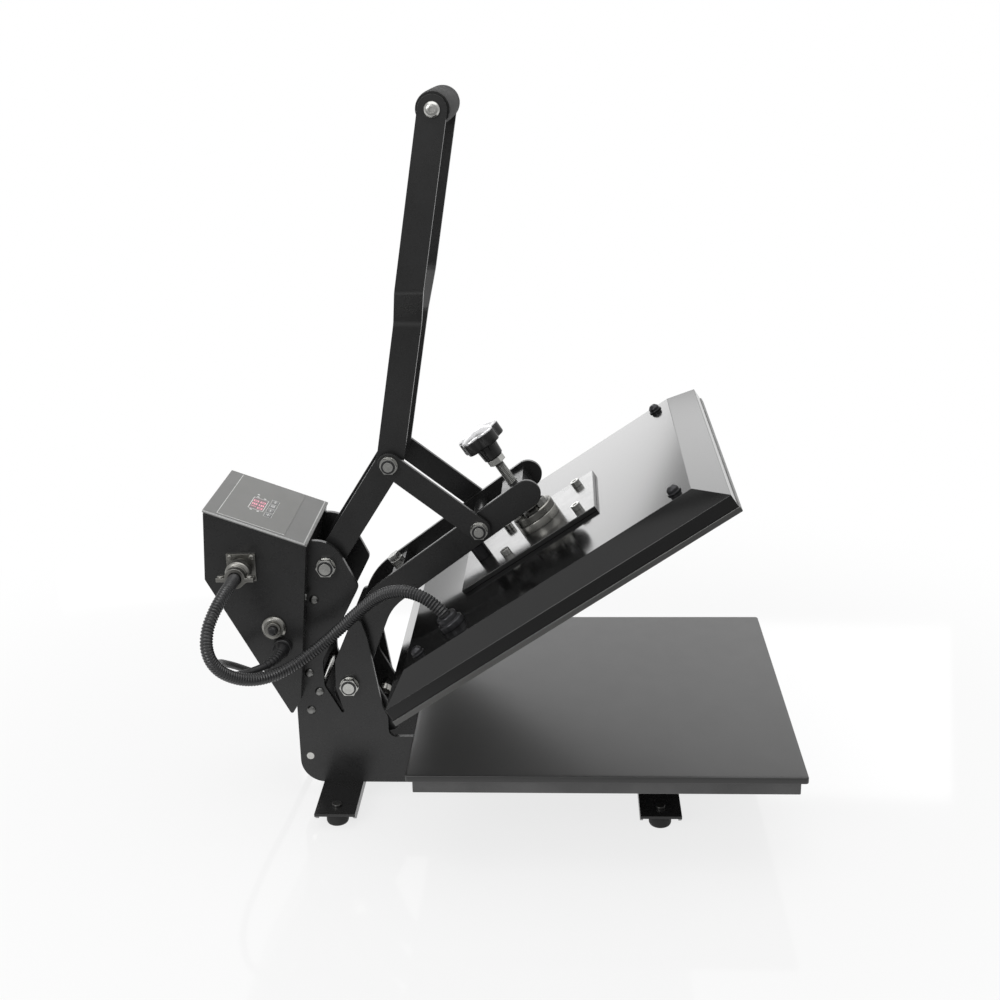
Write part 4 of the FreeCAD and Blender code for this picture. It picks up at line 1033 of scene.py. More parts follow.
@dataclass
class MainsLead:
    """Mains lead from the gland to its plug, with the unseen length in a round coil.

    Its places are from the middle of the pad's top.

    Attributes:
        thick: Diameter of the lead.
        floor: Height of the lead's middle where it lies on the bench.
        route: Points from the gland to the coil.
        coil_middle: Middle of the coil's first half turn.
        coil_radius: Radius of its first half turn.
        coil_gap: Room between neighbouring turns.
        inward: Half turns that spiral in before the climb.
        outward: Half turns after it.
        tail: Points after the coil, from its end.
        plug_place: Where the plug starts along and across, from the coil's end.
        plug_high: Height of the plug's middle over the bench.
        relief_long: Where the boot ends along the lead.
        relief_start: Where it starts.
        relief_radius: Its radius at its start and at its end.
        groove_pitch: Distance from groove to groove.
        groove_deep: Depth of a groove.
        grooved: Shares of the boot's length between which it has grooves.
        steady: Direction that the lead never runs along at the boot.
        long: Length of the whole lead; not used.
        path: Centreline of the lead once it is made.
    """

    thick: float = 0.0075
    floor: float = -0.1037
    route: tuple[Point, ...] = (
        (-0.325, -0.076, 0.077), (-0.325, -0.092, 0.077), (-0.3317, -0.1065, 0.076),
        (-0.3445, -0.1155, 0.0735), (-0.3595, -0.117, 0.0695), (-0.373, -0.11, 0.0655),
        (-0.3825, -0.0975, 0.0625), (-0.3885, -0.0825, 0.0605), (-0.393, -0.067, 0.058),
        (-0.395, -0.0515, 0.0525), (-0.3935, -0.037, 0.0445), (-0.3895, -0.022, 0.0355),
        (-0.3845, -0.0065, 0.025), (-0.3785, 0.009, 0.0138), (-0.371, 0.0255, 0.002),
        (-0.363, 0.0415, -0.01), (-0.3558, 0.0558, -0.0215), (-0.3489, 0.0701, -0.0338),
        (-0.3415, 0.0841, -0.0475), (-0.3329, 0.0976, -0.061), (-0.3223, 0.1112, -0.0731),
        (-0.3102, 0.1243, -0.0842), (-0.2965, 0.1363, -0.0945), (-0.2802, 0.1469, -0.1024),
        (-0.2613, 0.1558, -0.1037), (-0.2414, 0.1624, -0.1037), (-0.2209, 0.167, -0.1037),
        (-0.2002, 0.1701, -0.1037), (-0.1792, 0.1719, -0.1037), (-0.1582, 0.1727, -0.1037),
        (-0.139, 0.173, -0.1037), (-0.12, 0.173, -0.1037))
    coil_middle: Span = (-0.12, 0.124)
    coil_radius: float = 0.049
    coil_gap: float = 0.0007
    inward: int = 4
    outward: int = 3
    tail: tuple[Point, ...] = (
        (0.0, 0.0, 0.0), (0.022, 0.0, 0.0), (0.047, -0.001, -0.005), (0.072, -0.0015, -0.0045))
    plug_place: Span = (0.096, -0.001)
    plug_high: float = 0.0122
    relief_long: float = 0.034
    relief_start: float = 0.004
    relief_radius: Span = (0.0066, 0.0044)
    groove_pitch: float = 0.0042
    groove_deep: float = 0.0006
    grooved: Span = (0.12, 0.95)
    steady: Point = (0.2, 0.1, 1.0)
    long: float = 1.71
    path: np.ndarray = field(init=False, default=None)

    def coil(self) -> tuple[np.ndarray, np.ndarray]:
        """Control points of the coil and the spot where it ends.

        Half turn k has its own radius and is cut into eight equal steps. Each step has a control
        point at its middle, at the radius over the cosine of half a step, so the curve has the
        wanted radius itself. The half turn where the spiral reverses climbs one layer.

        Returns:
            The control points as (count, 3), and the last spot.
        """
        layer = self.thick + self.coil_gap
        radii = [self.coil_radius - k * layer / 2 for k in range(self.inward + 1)]
        radii += [radii[-1] + k * layer / 2 for k in range(1, self.outward + 1)]
        spot = np.array([self.coil_middle[0], self.coil_middle[1] + self.coil_radius, self.floor])
        count, points = 8, []
        share = (np.arange(count) + 0.5) / count
        for k, radius in enumerate(radii):
            side = -1 if k % 2 == 0 else 1
            climb = layer if k == self.inward else 0.0
            middle = spot + np.array([0.0, radius * side, 0.0])
            reach = radius / math.cos(math.pi / count / 2)
            turn = share * math.pi
            x = middle[0] - side * reach * np.sin(turn)
            y = middle[1] - side * reach * np.cos(turn)
            points.append(np.stack([x, y, spot[2] + climb * share * share * (3 - 2 * share)], -1))
            spot = spot + np.array([0.0, 2 * radius * side, climb])
        return np.concatenate(points), spot

    def lead(self) -> bpy.types.Object:
        """Draws the lead on one smooth curve.

        Returns:
            The lead.
        """
        loops, spot = self.coil()
        end = (spot[0] + self.plug_place[0], spot[1] + self.plug_place[1], self.plug_high - BENCH.origin[2])
        control = np.concatenate([np.array(self.route), loops, spot + np.array(self.tail), np.array([end])])
        lead = spline("mains_lead", control + np.array(BENCH.origin))
        self.path = centreline(lead)
        lead.data.bevel_depth = self.thick / 2
        lead.data.bevel_resolution = 5
        lead.data.use_fill_caps = True
        dress(lead, LEAD)
        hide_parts("mains_cord_run", "mains_cord_coil")
        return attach(lead, "base")

    def relief(self) -> bpy.types.Object:
        """Tapered boot at the gland.

        Its radius falls evenly from start to end, less the depth of a groove times
        (1/2 + 1/2 cos(2 pi s / pitch))^3 at a distance s along the lead, but for its plain ends.

        Returns:
            The boot.
        """
        stations = np.linspace(self.relief_start, self.relief_long, 90)
        share = (stations - stations[0]) / (stations[-1] - stations[0])
        groove = 0.5 + 0.5 * np.cos(2 * math.pi * stations / self.groove_pitch)
        inside = (share > self.grooved[0]) * (share < self.grooved[1])
        thick, thin = self.relief_radius
        radius = thick - (thick - thin) * share - self.groove_deep * groove ** 3 * inside
        boot = tube(spaced(self.path, stations), radius, self.steady, 32)
        return make("mains_boot", [boot], LEAD, "base", sharp=60)

    def build(self) -> None:
        lead = self.lead()
        plug = Plug(self.path[-1])
        pieces = [self.relief(), plug.body(), plug.pins()]
        log.info("mains lead %.3f m", path_length(self.path))


@dataclass
class Conduit:
    """Ribbed hose from the connector to the fitting on the upper platen.

    Attributes:
        thick: Diameter over the ribs.
        rib: Height of a rib.
        pitch: Distance from rib to rib.
        route: Points from the connector, from the middle of the pad's top.
        fitting: Place of the fitting along and across the platen, and the cover's height there.
        entry: Heights over the cover of the hose's last two points.
        plain: Length at each end that stays at the root.
        swell: Length over which the ribs then rise.
        steady: Direction that the hose never runs along.
        sides: Points of a ring.
        rib_rows: Rings to each rib.
        bend: Where it would stop following the base and where it would wholly follow the arms; these places
            are worked out but not used, and the hose rides on no body.
    """

    thick: float = 0.0126
    rib: float = 0.0011
    pitch: float = 0.003
    route: tuple[Point, ...] = (
        (-0.3605, -0.08, 0.1639), (-0.3606, -0.102, 0.1638), (-0.3633, -0.1238, 0.1609),
        (-0.3695, -0.1431, 0.1519), (-0.3762, -0.1564, 0.1356), (-0.3777, -0.1603, 0.1141),
        (-0.3714, -0.1546, 0.0938), (-0.3591, -0.1433, 0.0792), (-0.3438, -0.1302, 0.0699),
        (-0.3269, -0.1161, 0.0677), (-0.3094, -0.1029, 0.0718), (-0.2922, -0.0925, 0.0812),
        (-0.2749, -0.0862, 0.0937), (-0.2583, -0.084, 0.1084), (-0.2425, -0.0858, 0.1239),
        (-0.2269, -0.0912, 0.1388), (-0.2102, -0.0997, 0.1509), (-0.1913, -0.1099, 0.1562),
        (-0.1715, -0.1191, 0.1528))
    fitting: Point = (-0.106, -0.125, 0.0335)
    entry: Span = (0.016, 0.001)
    plain: float = 0.012
    swell: float = 0.002
    steady: Point = (-0.6, 0.7, 0.35)
    sides: int = 28
    rib_rows: int = 8
    bend: tuple[Point, Point] = ((-0.345, -0.11, 0.07), (-0.19, -0.11, 0.07))

    def build(self) -> None:
        """Makes the hose along its own smooth line.

        The radius is the root plus the rib times (1/2 + 1/2 cos(2 pi s / pitch)) to the power 0.6,
        which gives round crests and narrow roots, and the plain ends stay at the root.
        """
        foot = PLATEN.at(self.fitting[0], self.fitting[1], self.fitting[2] + np.array(self.entry))
        guide = spline("hose_guide", np.concatenate([np.array(self.route) + np.array(BENCH.origin), foot]))
        drawn = centreline(guide)
        bpy.data.objects.remove(guide)
        total = path_length(drawn)
        stations = np.linspace(0, total, round(total / self.pitch) * self.rib_rows + 1)
        path = spaced(drawn, stations)
        wave = (0.5 + 0.5 * np.cos(2 * math.pi * stations / self.pitch)) ** 0.6
        ribbed = np.clip((np.minimum(stations, total - stations) - self.plain) / self.swell, 0, 1)
        radius = self.thick / 2 - self.rib * (1 - wave * ribbed)
        hose = make("ribbed_hose", [tube(path, radius, self.steady, self.sides)], RIBBED, None, "conduit",
                    sharp=70)
        start, end = (tuple(BENCH.at(*spot)) for spot in self.bend)
        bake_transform(hose)
        log.info("conduit %.3f m", total)


# machine

@dataclass
class Frame:
    """Side plates, channels, feet and the fixed bolts of the base.

    Attributes:
        plate_edge: Rounding of cut plate edges.
        fold_edge: Rounding of folded steel.
        nut_out: Distance of the pivot nuts' outer faces from the middle.
        insert_and_gap_shade: Inner and outer radius of the rings in those nuts.
        pivots: The two fixed pivots as (x, z) from the middle of the pad's top.
    """

    plate_edge: float = 0.0005
    fold_edge: float = 0.0011
    # insert_and_gap_shade: Inner and outer radius of the dark rings in those nuts, their nylon inserts,
    # which also paint the shade of the gap round each bolt.
    nut_out: float = 0.055
    insert_and_gap_shade: Span = (0.0061, 0.0079)
    pivots: tuple[Span, ...] = ((-0.2788, 0.1571), (-0.2619, 0.0249))

    def build(self) -> None:
        """Rounds the steel and adds the lock nuts' dark inserts, which also paint the shade round the
        bolts.
        """
        soften_all(("side_plate_near", "side_plate_far", "platen_support_bars"), self.plate_edge)
        softened("foot_channels", self.fold_edge, segments=3)
        softened("base_screws", BOLT_EDGE, finish=DULL_ZINC)
        softened("pivot_bolts", BOLT_EDGE)
        # dark rings: the lock nuts' inserts, also painted shade in the gap round each bolt
        inserts_and_gap_shade = [lock_insert_and_gap_shade(x, z, side, self.nut_out, *self.insert_and_gap_shade) for x, z in self.pivots
                   for side in (NEAR, FAR)]
        make("frame_nut_inserts_and_gap_shade", inserts_and_gap_shade, BUTTON, "base")


def lock_insert_and_gap_shade(x: float, z: float, side: int, out: float, bore: float, radius: float) -> Skin:
    """Dark ring that stands a little out of a lock nut round its bolt: the nut's nylon insert, made dark as
    painted shade of the gap round the bolt.

    Args:
        x: Place of the bolt, from the middle of the pad's top.
        z: Its height there.
        side: NEAR or FAR.
        out: Distance of the nut's face from the machine's middle.
        bore: Inner radius of the ring.
        radius: Its outer radius.

    Returns:
        The ring, sunk by 0.4 mm and with its outer edge broken.
    """
    sunk, high, low = 0.0004, 0.001, 0.0007
    axis = Axis(BENCH.at(x, side * (out - sunk), z), np.array([0.0, side, 0.0]))
    profile = [(bore, 0), (radius, 0), (radius, low), (radius - sunk, high), (bore, high)]
    return turned(axis, profile, 40, True)


def nut_inserts_and_gap_shade(node: str) -> list[Skin]:
    """Dark rings in both lock nuts of a link bolt: nylon inserts that also paint the shade round the bolt.

    Args:
        node: The bolt's CAD node, whose own box gives its middle and its ends.

    Returns:
        One ring for each side.
    """
    past_nut, bore, radius = 0.0012, 0.0051, 0.0070
    low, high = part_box(node)
    middle = (low + high) / 2 - Vector(BENCH.origin)
    return [lock_insert_and_gap_shade(middle.x, middle.z, side, high.y - past_nut, bore, radius) for side in (NEAR, FAR)]


@dataclass
class LowerPlaten:
    """Aluminium board with its silicone pad.

    Attributes:
        half: Half side of the pad.
        thick: Thickness of the pad.
        corner: Radius of its upright corners.
        lip: Radius of its top and bottom edges.
        crown: Height that the middle keeps over the rim.
        board_edge: Rounding of the board.
    """

    half: float = 0.19
    thick: float = 0.007
    corner: float = 0.0026
    lip: float = 0.0011
    crown: float = 0.00025
    board_edge: float = 0.0009

    def pad(self) -> bpy.types.Object:
        """Silicone pad as nested rounded squares.

        From the middle of the top the outlines grow to the rim, follow a quarter circle of the
        lip's radius down to the side, and return the same way underneath. The top's height is
        -crown (r / half)^6, so it is flat but for its last centimetres.

        Returns:
            The pad.
        """
        quarter = np.linspace(0, math.pi / 2, 6)
        inset = self.lip * (1 - np.sin(quarter))
        rise = self.lip * (1 - np.cos(quarter))
        flat = np.array([0.0005, 0.2, 0.45, 0.7, 0.85, 0.94, 0.985]) * (self.half - self.lip)
        half = np.concatenate([flat, self.half - inset, (self.half - inset)[::-1], flat[::-1]])
        sag = self.crown * (half / self.half) ** 6
        top = np.concatenate([-sag[:len(flat)], -rise - self.crown])
        under = -self.thick + np.concatenate([rise[::-1], np.zeros(len(flat))])
        corner = np.minimum(self.corner, half * 0.5)
        outline = rounded_squares(half, corner, 7, 16)
        height = np.concatenate([top, under])[:, None]
        grid = BENCH.at(outline[..., 0], outline[..., 1], height)
        return make("pad", [skin(grid)], SILICONE, "base", "silicone_pad", sharp=60)

    def build(self) -> None:
        """Makes the pad and rounds the board."""
        self.pad()
        softened("lower_platen", self.board_edge, segments=3)


@dataclass
class Handle:
    """Bent levers, knee bolt and foam grip.

    Attributes:
        grip: Middle of the grip from the middle of the pad's top, as (x, z).
        grip_half: Half length of the foam.
        grip_radius: Its radius.
        grip_bore: Radius of the rod through it.
        end_share: Share of the radius that its ends keep.
        lever_edge: Rounding of the levers.
    """

    grip: Span = (-0.1545, 0.602)
    grip_half: float = 0.063
    grip_radius: float = 0.01675
    grip_bore: float = 0.0043
    end_share: float = 0.93
    lever_edge: float = 0.001

    def foam(self) -> bpy.types.Object:
        """Foam sleeve, whose radius rises from its ends' share to 1 with 1 - (y / half)^8.

        Returns:
            The sleeve.
        """
        share = np.sin(np.linspace(-1, 1, 41) * math.pi / 2)
        swell = 1 - np.abs(share) ** 8
        radius = self.grip_radius * (self.end_share + (1 - self.end_share) * swell)
        height = self.grip_half * (1 + share)
        profile = [(self.grip_bore, 0.0), *zip(radius.tolist(), height.tolist()),
                   (self.grip_bore, 2 * self.grip_half)]
        axis = Axis(BENCH.at(self.grip[0], -self.grip_half, self.grip[1]), np.array([0.0, 1.0, 0.0]))
        piece = make("grip_foam", [turned(axis, profile, 64, True)], GRIP_FOAM, "handle", "grip", sharp=50)
        return piece

    def build(self) -> None:
        """Makes the grip and rounds the levers."""
        self.foam()
        soften_all(("handle_lever_near", "handle_lever_far"), self.lever_edge, segments=3)
        soften_all(("knee_bolt", "grip_bolt"), BOLT_EDGE)
        # dark rings: the lock nuts' inserts, also painted shade in the gap round the bolt
        make("knee_nut_inserts_and_gap_shade", nut_inserts_and_gap_shade("knee_bolt"), BUTTON, "handle")


@dataclass
class Arms:
    """Elbow arms, links and the pieces across them.

    Attributes:
        edge: Rounding of the plates and the cross pieces.
    """

    edge: float = 0.0008

    def build(self) -> None:
        """Rounds the plates, the cross pieces and the bolts."""
        soften_all(("arm_near", "arm_far", "link_near", "link_far", "arm_cross_members", "screw_block"),
                   self.edge)
        soften_all(("link_end_bolts", "stop_bolt"), BOLT_EDGE)
        softened("arm_pins", BOLT_EDGE, finish=DULL_ZINC)
        # dark rings: the lock nuts' inserts, also painted shade in the gap round the bolt
        make("link_nut_inserts_and_gap_shade", nut_inserts_and_gap_shade("link_end_bolts"), BUTTON, "link")


@dataclass
class PressureScrew:
    """Threaded rod with its nuts, lobed knob and polished cap, along the platen's normal.

    Attributes:
        u: Place along the platen.
        low: Height of the rod's foot over the platen's face.
        rod_radius: Radius over the thread.
        pitch: Pitch of the thread.
        rod_long: Length of the rod.
        thread_deep: Depth of the thread.
        foot: Profile of the rod's foot as (radius, height).
        foot_high: Height at which the thread starts.
        chamfer: Width of the chamfer at the rod's top.
        knob_radius: Reach of the lobes.
        lobe_radius: Radius of one lobe.
        lobes: Number of lobes.
        lobe_turn: Turn of the first lobe in degrees.
        hub_radius: Radius of the knob between the lobes.
        knob_rows: Rows of the knob from its hub's foot up, as in lobed().
        cap_low: Height of the dome's rim.
        cap_high: Height of the dome over its rim.
        cap_rim: Rows that close the cap under its dome.
        nut_edge: Rounding of the nuts.
    """

    u: float = -0.003
    low: float = 0.0415
    rod_radius: float = 0.005
    pitch: float = 0.0015
    rod_long: float = 0.092
    thread_deep: float = 0.0006
    foot: tuple[Span, ...] = ((0.0, 0.0), (0.0055, 0.0), (0.0055, 0.003))
    foot_high: float = 0.004
    chamfer: float = 0.001
    knob_radius: float = 0.0235
    lobe_radius: float = 0.010
    lobes: int = 5
    lobe_turn: float = 20.0
    hub_radius: float = 0.0185
    knob_rows: tuple[Point, ...] = (
        (0.0, 0.0052, 0.1215), (0.0, 0.0090, 0.1215), (0.0, 0.0104, 0.1229), (0.0, 0.0110, 0.1300),
        (0.0, 0.0117, 0.1366), (0.6, 0.0000, 0.1380), (1.0, -0.0016, 0.1380), (1.0, -0.0005, 0.1384),
        (1.0, 0.0, 0.1396), (1.0, 0.0, 0.1500), (1.0, -0.0006, 0.1506), (0.0, 0.0052, 0.1506))
    cap_low: float = 0.1524
    cap_high: float = 0.0041
    cap_rim: tuple[Point, ...] = (
        (0.99, 0.0, 0.1521), (1.0, -0.0001, 0.1516), (1.0, -0.0001, 0.1507), (0.0, 0.0, 0.1507))
    nut_edge: float = 0.0005

    def axis(self, height: float) -> Axis:
        """The screw's line from a height over the platen's face."""
        return Axis(PLATEN.at(self.u, 0.0, height), PLATEN.out())

    def rod(self) -> None:
        """Rod whose radius is less by the thread's depth times a share of the groove.

        With f the turn's fraction, the share is 1.3 |2 f - 1| - 0.15, held between 0 and 1.
        """
        sides, rows_a_turn = 36, 8
        top = self.rod_long - self.chamfer
        turns = round((top - self.foot_high) / self.pitch)
        height = np.linspace(self.foot_high, top, rows_a_turn * turns)
        fraction = (height[:, None] / self.pitch - (np.arange(sides) / sides)[None, :]) % 1.0
        cut = self.thread_deep * np.clip(np.abs(2 * fraction - 1) * 1.3 - 0.15, 0, 1)
        profile = [*self.foot, *((self.rod_radius, h) for h in height),
                   (self.rod_radius - self.chamfer, self.rod_long), (0.0, self.rod_long)]
        relief = np.concatenate([np.zeros((len(self.foot), sides)), -cut, np.zeros((2, sides))])
        make("screw_rod_cut", [turned(self.axis(self.low), profile, sides, relief=relief)], THREAD, "screw",
             "screw_rod", sharp=50)

    def lobed(self, rows: Sequence[tuple[float, float, float]], ring: bool) -> Skin:
        """Surface whose outline is a soft maximum of the hub and of its lobes.

        A lobe's edge lies at reach cos a + sqrt(lobe^2 - reach^2 sin^2 a) for an angle a from its
        middle, and the soft maximum is the 24th root of the sum of 24th powers.

        Args:
            rows: For each row the share of the outline, what is added to it, and the height.
            ring: Whether the rows are a closed loop.

        Returns:
            The surface.
        """
        sides = 120
        angle = round_angles(sides)
        spread = 2 * math.pi / self.lobes
        off = (angle - math.radians(self.lobe_turn) + spread / 2) % spread - spread / 2
        reach = self.knob_radius - self.lobe_radius
        lobe = reach * np.cos(off) + np.sqrt(self.lobe_radius ** 2 - (reach * np.sin(off)) ** 2)
        power = 24
        edge = (lobe ** power + self.hub_radius ** power) ** (1 / power)
        share, added, height = (np.array(c)[:, None] for c in zip(*rows))
        radius = share * edge[None, :] + added
        return skin(self.axis(0.0).at(radius, angle[None, :], height + np.zeros(sides)), ring)

    def knob(self) -> None:
        """Knob with a tapered hub under its lobes."""
        make("knob_lobed", [self.lobed(self.knob_rows, True)], KNOB, "screw", "knob", sharp=40)

    def cap(self) -> None:
        """Polished cap over the lobes: its height falls from the middle with 1 - share^2.4."""
        share = np.linspace(0, 0.97, 24)
        dome = self.cap_low + self.cap_high * (1 - share ** 2.4)
        rows = [*((s, 0.0, h) for s, h in zip(share.tolist(), dome.tolist())), *self.cap_rim]
        make("knob_cap_domed", [self.lobed(rows, False)], CAP, "screw", "knob_cap", sharp=40)

    def build(self) -> None:
        """Makes the screw's own pieces."""
        self.rod()
        self.knob()
        self.cap()
        softened("screw_nuts", self.nut_edge)


@dataclass
class UpperPlaten:
    """Cover, heating plate and what is bolted on them.

    Attributes:
        fold: Rounding of the cover's bends.
        fold_crease: Angle in degrees past which one of its edges is a bend.
        plate_edge: Rounding of the heating plate and the screw's seat.
        mount_edge: Rounding of the mounting plate.
    """

    fold: float = 0.0016
    fold_crease: float = 20.0
    plate_edge: float = 0.0006
    mount_edge: float = 0.0007

    def build(self) -> None:
        """Rounds the folded cover, the plates and the bolts."""
        softened("platen_cover", self.fold, segments=4, crease=self.fold_crease)
        softened("heating_plate", self.plate_edge)
        softened("mounting_plate", self.mount_edge, segments=3, finish=PLATE)
        soften_all(("cover_nuts", "mounting_bolts", "conduit_fitting", "guide_stud"), FITTING_EDGE)
        softened("screw_seat", self.plate_edge, segments=3)


def around(middle: float, reach: Span) -> Span:
    """Two values at signed distances from a middle one."""
    return middle + reach[0], middle + reach[1]


class Sign(Enum):
    """Signs of the keys, as bars of (u, y, half length along u, half length along y)."""

    PLUS = ((0, 0, 0.0019, 0.0004), (0, 0, 0.0004, 0.0025))
    MINUS = ((0, 0, 0.0004, 0.0025),)
    BARS = tuple((k * 0.0014, 0, 0.0003, 0.0025) for k in (-1, 0, 1))
    DOTS = tuple((0, k * 0.0017, 0.0008, 0.0008) for k in (-1, 1))


# strokes of a figure as two (column, row) ends, and the strokes that each figure lights
STROKES = {"a": (0, 1, 1, 1), "b": (1, 1, 1, 0), "c": (1, 0, 1, -1), "d": (0, -1, 1, -1),
           "e": (0, 0, 0, -1), "f": (0, 1, 0, 0), "g": (0, 0, 1, 0)}
LIT = {"0": "abcdef", "1": "bc", "6": "acdefg", "8": "abcdefg"}


@dataclass
class ControlBox:
    """Folded box, sloping panel with its display and keys, connector, breaker and gland.

    Heights are over the panel's underside.

    Attributes:
        fold: Rounding of the box's bends.
        panel_edge: Rounding of the panel.
        wall: Distance of the near wall from the middle.
        connector: The connector's middle as (x, z) from the middle of the pad's top.
        barrel: Its profile as (radius, distance from the wall).
        barrel_step: Longest side that the profile is split into.
        knurl: Distances from the wall between which its ring is knurled.
        knurl_radius: Radius past which it is knurled.
        knurl_deep: Depth of the knurls.
        knurls: Their number.
        window_u: The window's reach along the panel.
        window_y: Its reach across.
        film_top: Height of the film.
        film_u: The film's reach along the panel.
        film_half: Half width of the film.
        key_u: Place of the keys along the panel.
        key_top: Height of the keys.
        key_y: Places of the keys across it.
        key_half: Half sizes of a key's printed border along and across.
        signs: The keys' signs.
        line: Width of the window's printed border.
        thin_line: Width of a key's.
        dots: Places of the printed discs beside the window.
        dot: Radius and thickness of a disc.
        border_high: Underside and top of a printed border, from the film's top.
        sign_high: Underside and top of a sign, from its key's top.
        highlight_high: Underside and top of the painted highlight lines at the film's edges, from its top.
        highlight_wide: Reach of those painted highlight lines to both sides of the edge.
        figures: The two lines that the display shows.
        first_figure: Where the first one starts, from the window's corner.
        figure_step: From line to line, and from figure to figure.
        figure_wide: Width of a figure between its strokes' middles.
        figure_half: Half its height.
        stroke_half: Half width of a stroke.
        stroke_high: Underside and top of a stroke.
        edge_highlights: Painted highlight lines along the panel's near side and its foot, as (u, y,
            height).
    """

    fold: float = 0.0008
    panel_edge: float = 0.0005
    wall: float = 0.065
    connector: Span = (-0.3605, 0.1639)
    barrel: tuple[Span, ...] = (
        (0.0070, -0.016), (0.0090, -0.016), (0.0090, 0.008), (0.0110, 0.008), (0.0110, 0.010),
        (0.0117, 0.0102), (0.0125, 0.0112), (0.0125, 0.0198), (0.0117, 0.0209), (0.0100, 0.0220),
        (0.0100, 0.0245), (0.0094, 0.0250), (0.0058, 0.0250), (0.0058, 0.006), (0.0070, 0.006),
        (0.0070, -0.0155))
    barrel_step: float = 0.0011
    knurl: Span = (0.0115, 0.0195)
    knurl_radius: float = 0.0122
    knurl_deep: float = 0.00035
    knurls: int = 64
    window_u: Span = (0.0376, 0.0524)
    window_y: Span = (-0.0214, 0.0104)
    film_top: float = 0.0034
    film_u: Span = (0.014, 0.084)
    film_half: float = 0.0616
    key_u: float = 0.0594
    key_top: float = 0.0038
    key_y: tuple[float, ...] = (-0.026, -0.013, 0.0, 0.013)
    key_half: Span = (0.0038, 0.0051)
    signs: tuple[Sign, ...] = (Sign.PLUS, Sign.MINUS, Sign.BARS, Sign.DOTS)
    line: float = 0.0006
    thin_line: float = 0.00035
    dots: tuple[Span, ...] = (
        (0.0408, 0.0136), (0.0482, 0.0136), (0.0408, -0.0246), (0.0482, -0.0246), (0.0400, 0.0200))
    dot: Span = (0.0013, 0.00016)
    border_high: Span = (-0.0001, 0.00006)
    sign_high: Span = (-0.0001, 0.00005)
    highlight_high: Span = (-0.0003, 0.00005)
    highlight_wide: Span = (-0.0003, 0.0002)
    figures: tuple[str, ...] = ("180", "060")
    first_figure: Span = (0.0037, 0.0042)
    figure_step: Span = (0.0072, 0.0086)
    figure_wide: float = 0.0034
    figure_half: float = 0.0023
    stroke_half: float = 0.0004
    stroke_high: Span = (0.0032, 0.00338)
    edge_highlights: tuple[tuple[Span, Span, Span], ...] = (
        ((0.0004, 0.1062), (-0.0660, -0.0652), (0.0014, 0.0029)),
        ((0.1046, 0.1058), (-0.0652, 0.0652), (0.0026, 0.00308)))

    def border(self, u: Span, y: Span, line: float) -> list[Skin]:
        """Four thin printed strips round a rectangle of the panel.

        Args:
            u: The rectangle's reach along the panel.
            y: Its reach across.
            line: Width of a strip.

        Returns:
            The strips.
        """
        h = around(self.film_top, self.border_high)
        outer_u, outer_y = (u[0] - line, u[1] + line), (y[0] - line, y[1] + line)
        return [slab(PANEL, (outer_u[0], u[0]), outer_y, h), slab(PANEL, (u[1], outer_u[1]), outer_y, h),
                slab(PANEL, u, (outer_y[0], y[0]), h), slab(PANEL, u, (y[1], outer_y[1]), h)]

    def display(self) -> None:
        """Seven-stroke figures: each lit stroke is a thin bar of the window."""
        bars = []
        for row, text in enumerate(self.figures):
            middle = self.window_u[0] + self.first_figure[0] + row * self.figure_step[0]
            for column, figure in enumerate(text):
                left = self.window_y[0] + self.first_figure[1] + column * self.figure_step[1]
                for stroke in LIT[figure]:
                    y0, u0, y1, u1 = STROKES[stroke]
                    u = sorted((middle - self.figure_half * u0, middle - self.figure_half * u1))
                    y = sorted((left + self.figure_wide * y0, left + self.figure_wide * y1))
                    bars.append(slab(PANEL, (u[0] - self.stroke_half, u[1] + self.stroke_half),
                                     (y[0] - self.stroke_half, y[1] + self.stroke_half), self.stroke_high))
        make("display_figures", bars, FIGURES, "base")

    def sign(self, sign: Sign, y: float) -> list[Skin]:
        """Plain printed sign on the key at y, one slab for each of its bars."""
        h = around(self.key_top, self.sign_high)
        return [slab(PANEL, around(self.key_u + u, (-a, a)), around(y + v, (-b, b)), h)
                for u, v, a, b in sign.value]

    def marks(self) -> None:
        """Printed frame of the window, borders and signs of the keys, discs, and painted highlight lines
        along the film's edges.
        """
        print_and_highlights = self.border(self.window_u, self.window_y, self.line)
        along, across = self.key_half
        for y, sign in zip(self.key_y, self.signs):
            print_and_highlights += self.border(around(self.key_u, (-along, along)), around(y, (-across, across)),
                                   self.thin_line)
            print_and_highlights += self.sign(sign, y)
        radius, thick = self.dot
        for u, y in self.dots:
            foot = PANEL.at(u, y, self.film_top + self.border_high[0])
            print_and_highlights.append(turned(Axis(foot, PANEL.out()),
                                  [(0, 0), (radius, 0), (radius, thick), (0, thick)], 20))
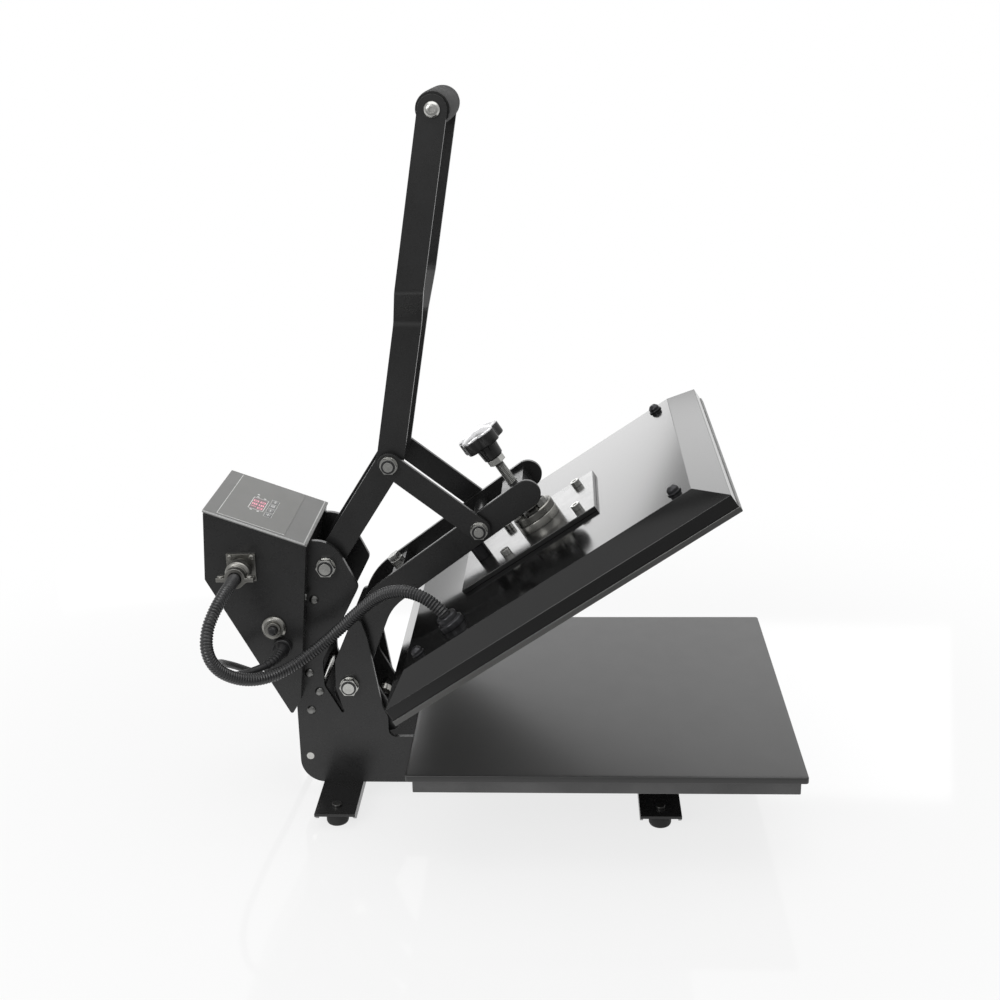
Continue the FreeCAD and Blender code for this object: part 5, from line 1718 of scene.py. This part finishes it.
        # light strips along the film's rear and near edges are painted highlights, not print
        rim, side = self.film_u[0], -self.film_half
        top = around(self.film_top, self.highlight_high)
        print_and_highlights.append(slab(PANEL, around(rim, self.highlight_wide), (side, -side), top))
        print_and_highlights.append(slab(PANEL, self.film_u, around(side, self.highlight_wide), top))
        make("panel_print", print_and_highlights, PRINT_AND_HIGHLIGHT, "base")
        # lighter strips along the panel's near side and foot are painted highlights
        make("panel_edge_highlights", [slab(PANEL, *reach) for reach in self.edge_highlights], PANEL_HIGHLIGHT, "base")

    def plug_connector(self) -> None:
        """Connector body with a knurled ring: the radius there waves by cos(knurls a)."""
        sides = 3 * self.knurls
        profile = steps(self.barrel, self.barrel_step)
        radius, height = np.array(profile).T
        knurled = (radius > self.knurl_radius) & (height > self.knurl[0]) & (height < self.knurl[1])
        wave = 0.5 + 0.5 * np.cos(self.knurls * round_angles(sides))
        relief = -self.knurl_deep * wave[None, :] * knurled[:, None]
        axis = Axis(BENCH.at(self.connector[0], -self.wall, self.connector[1]), np.array([0.0, -1.0, 0.0]))
        make("connector_knurled", [turned(axis, profile, sides, True, relief)], NICKEL, "base",
             "connector_body", sharp=40)

    def build(self) -> None:
        """Makes the panel's details and rounds the rest."""
        softened("control_box", self.fold, segments=3)
        softened("control_panel", self.panel_edge)
        soften_all(("connector_flange", "connector_clamp"), FITTING_EDGE)
        soften_all(("breaker_body", "breaker_button", "cable_gland"), BOLT_EDGE)
        soften_all([f"key_{number}" for number in range(1, 5)], BOLT_EDGE)
        self.plug_connector()
        self.display()
        self.marks()


def main() -> None:
    """Builds the studio, the cords and then each sub-assembly."""
    logging.basicConfig(level=logging.INFO)
    Studio().build()
    MainsLead().build()
    Conduit().build()
    for part in frame["record"]["subparts"]:
        dress(frame["nodes"][part["node"]], FINISHES[part["material_slot"]])
    assemblies = (Frame(), LowerPlaten(), Handle(), Arms(), PressureScrew(), UpperPlaten(), ControlBox())
    for assembly in assemblies:
        assembly.build()
        log.info("%s built", type(assembly).__name__)


if __name__ == "__main__":
    main()
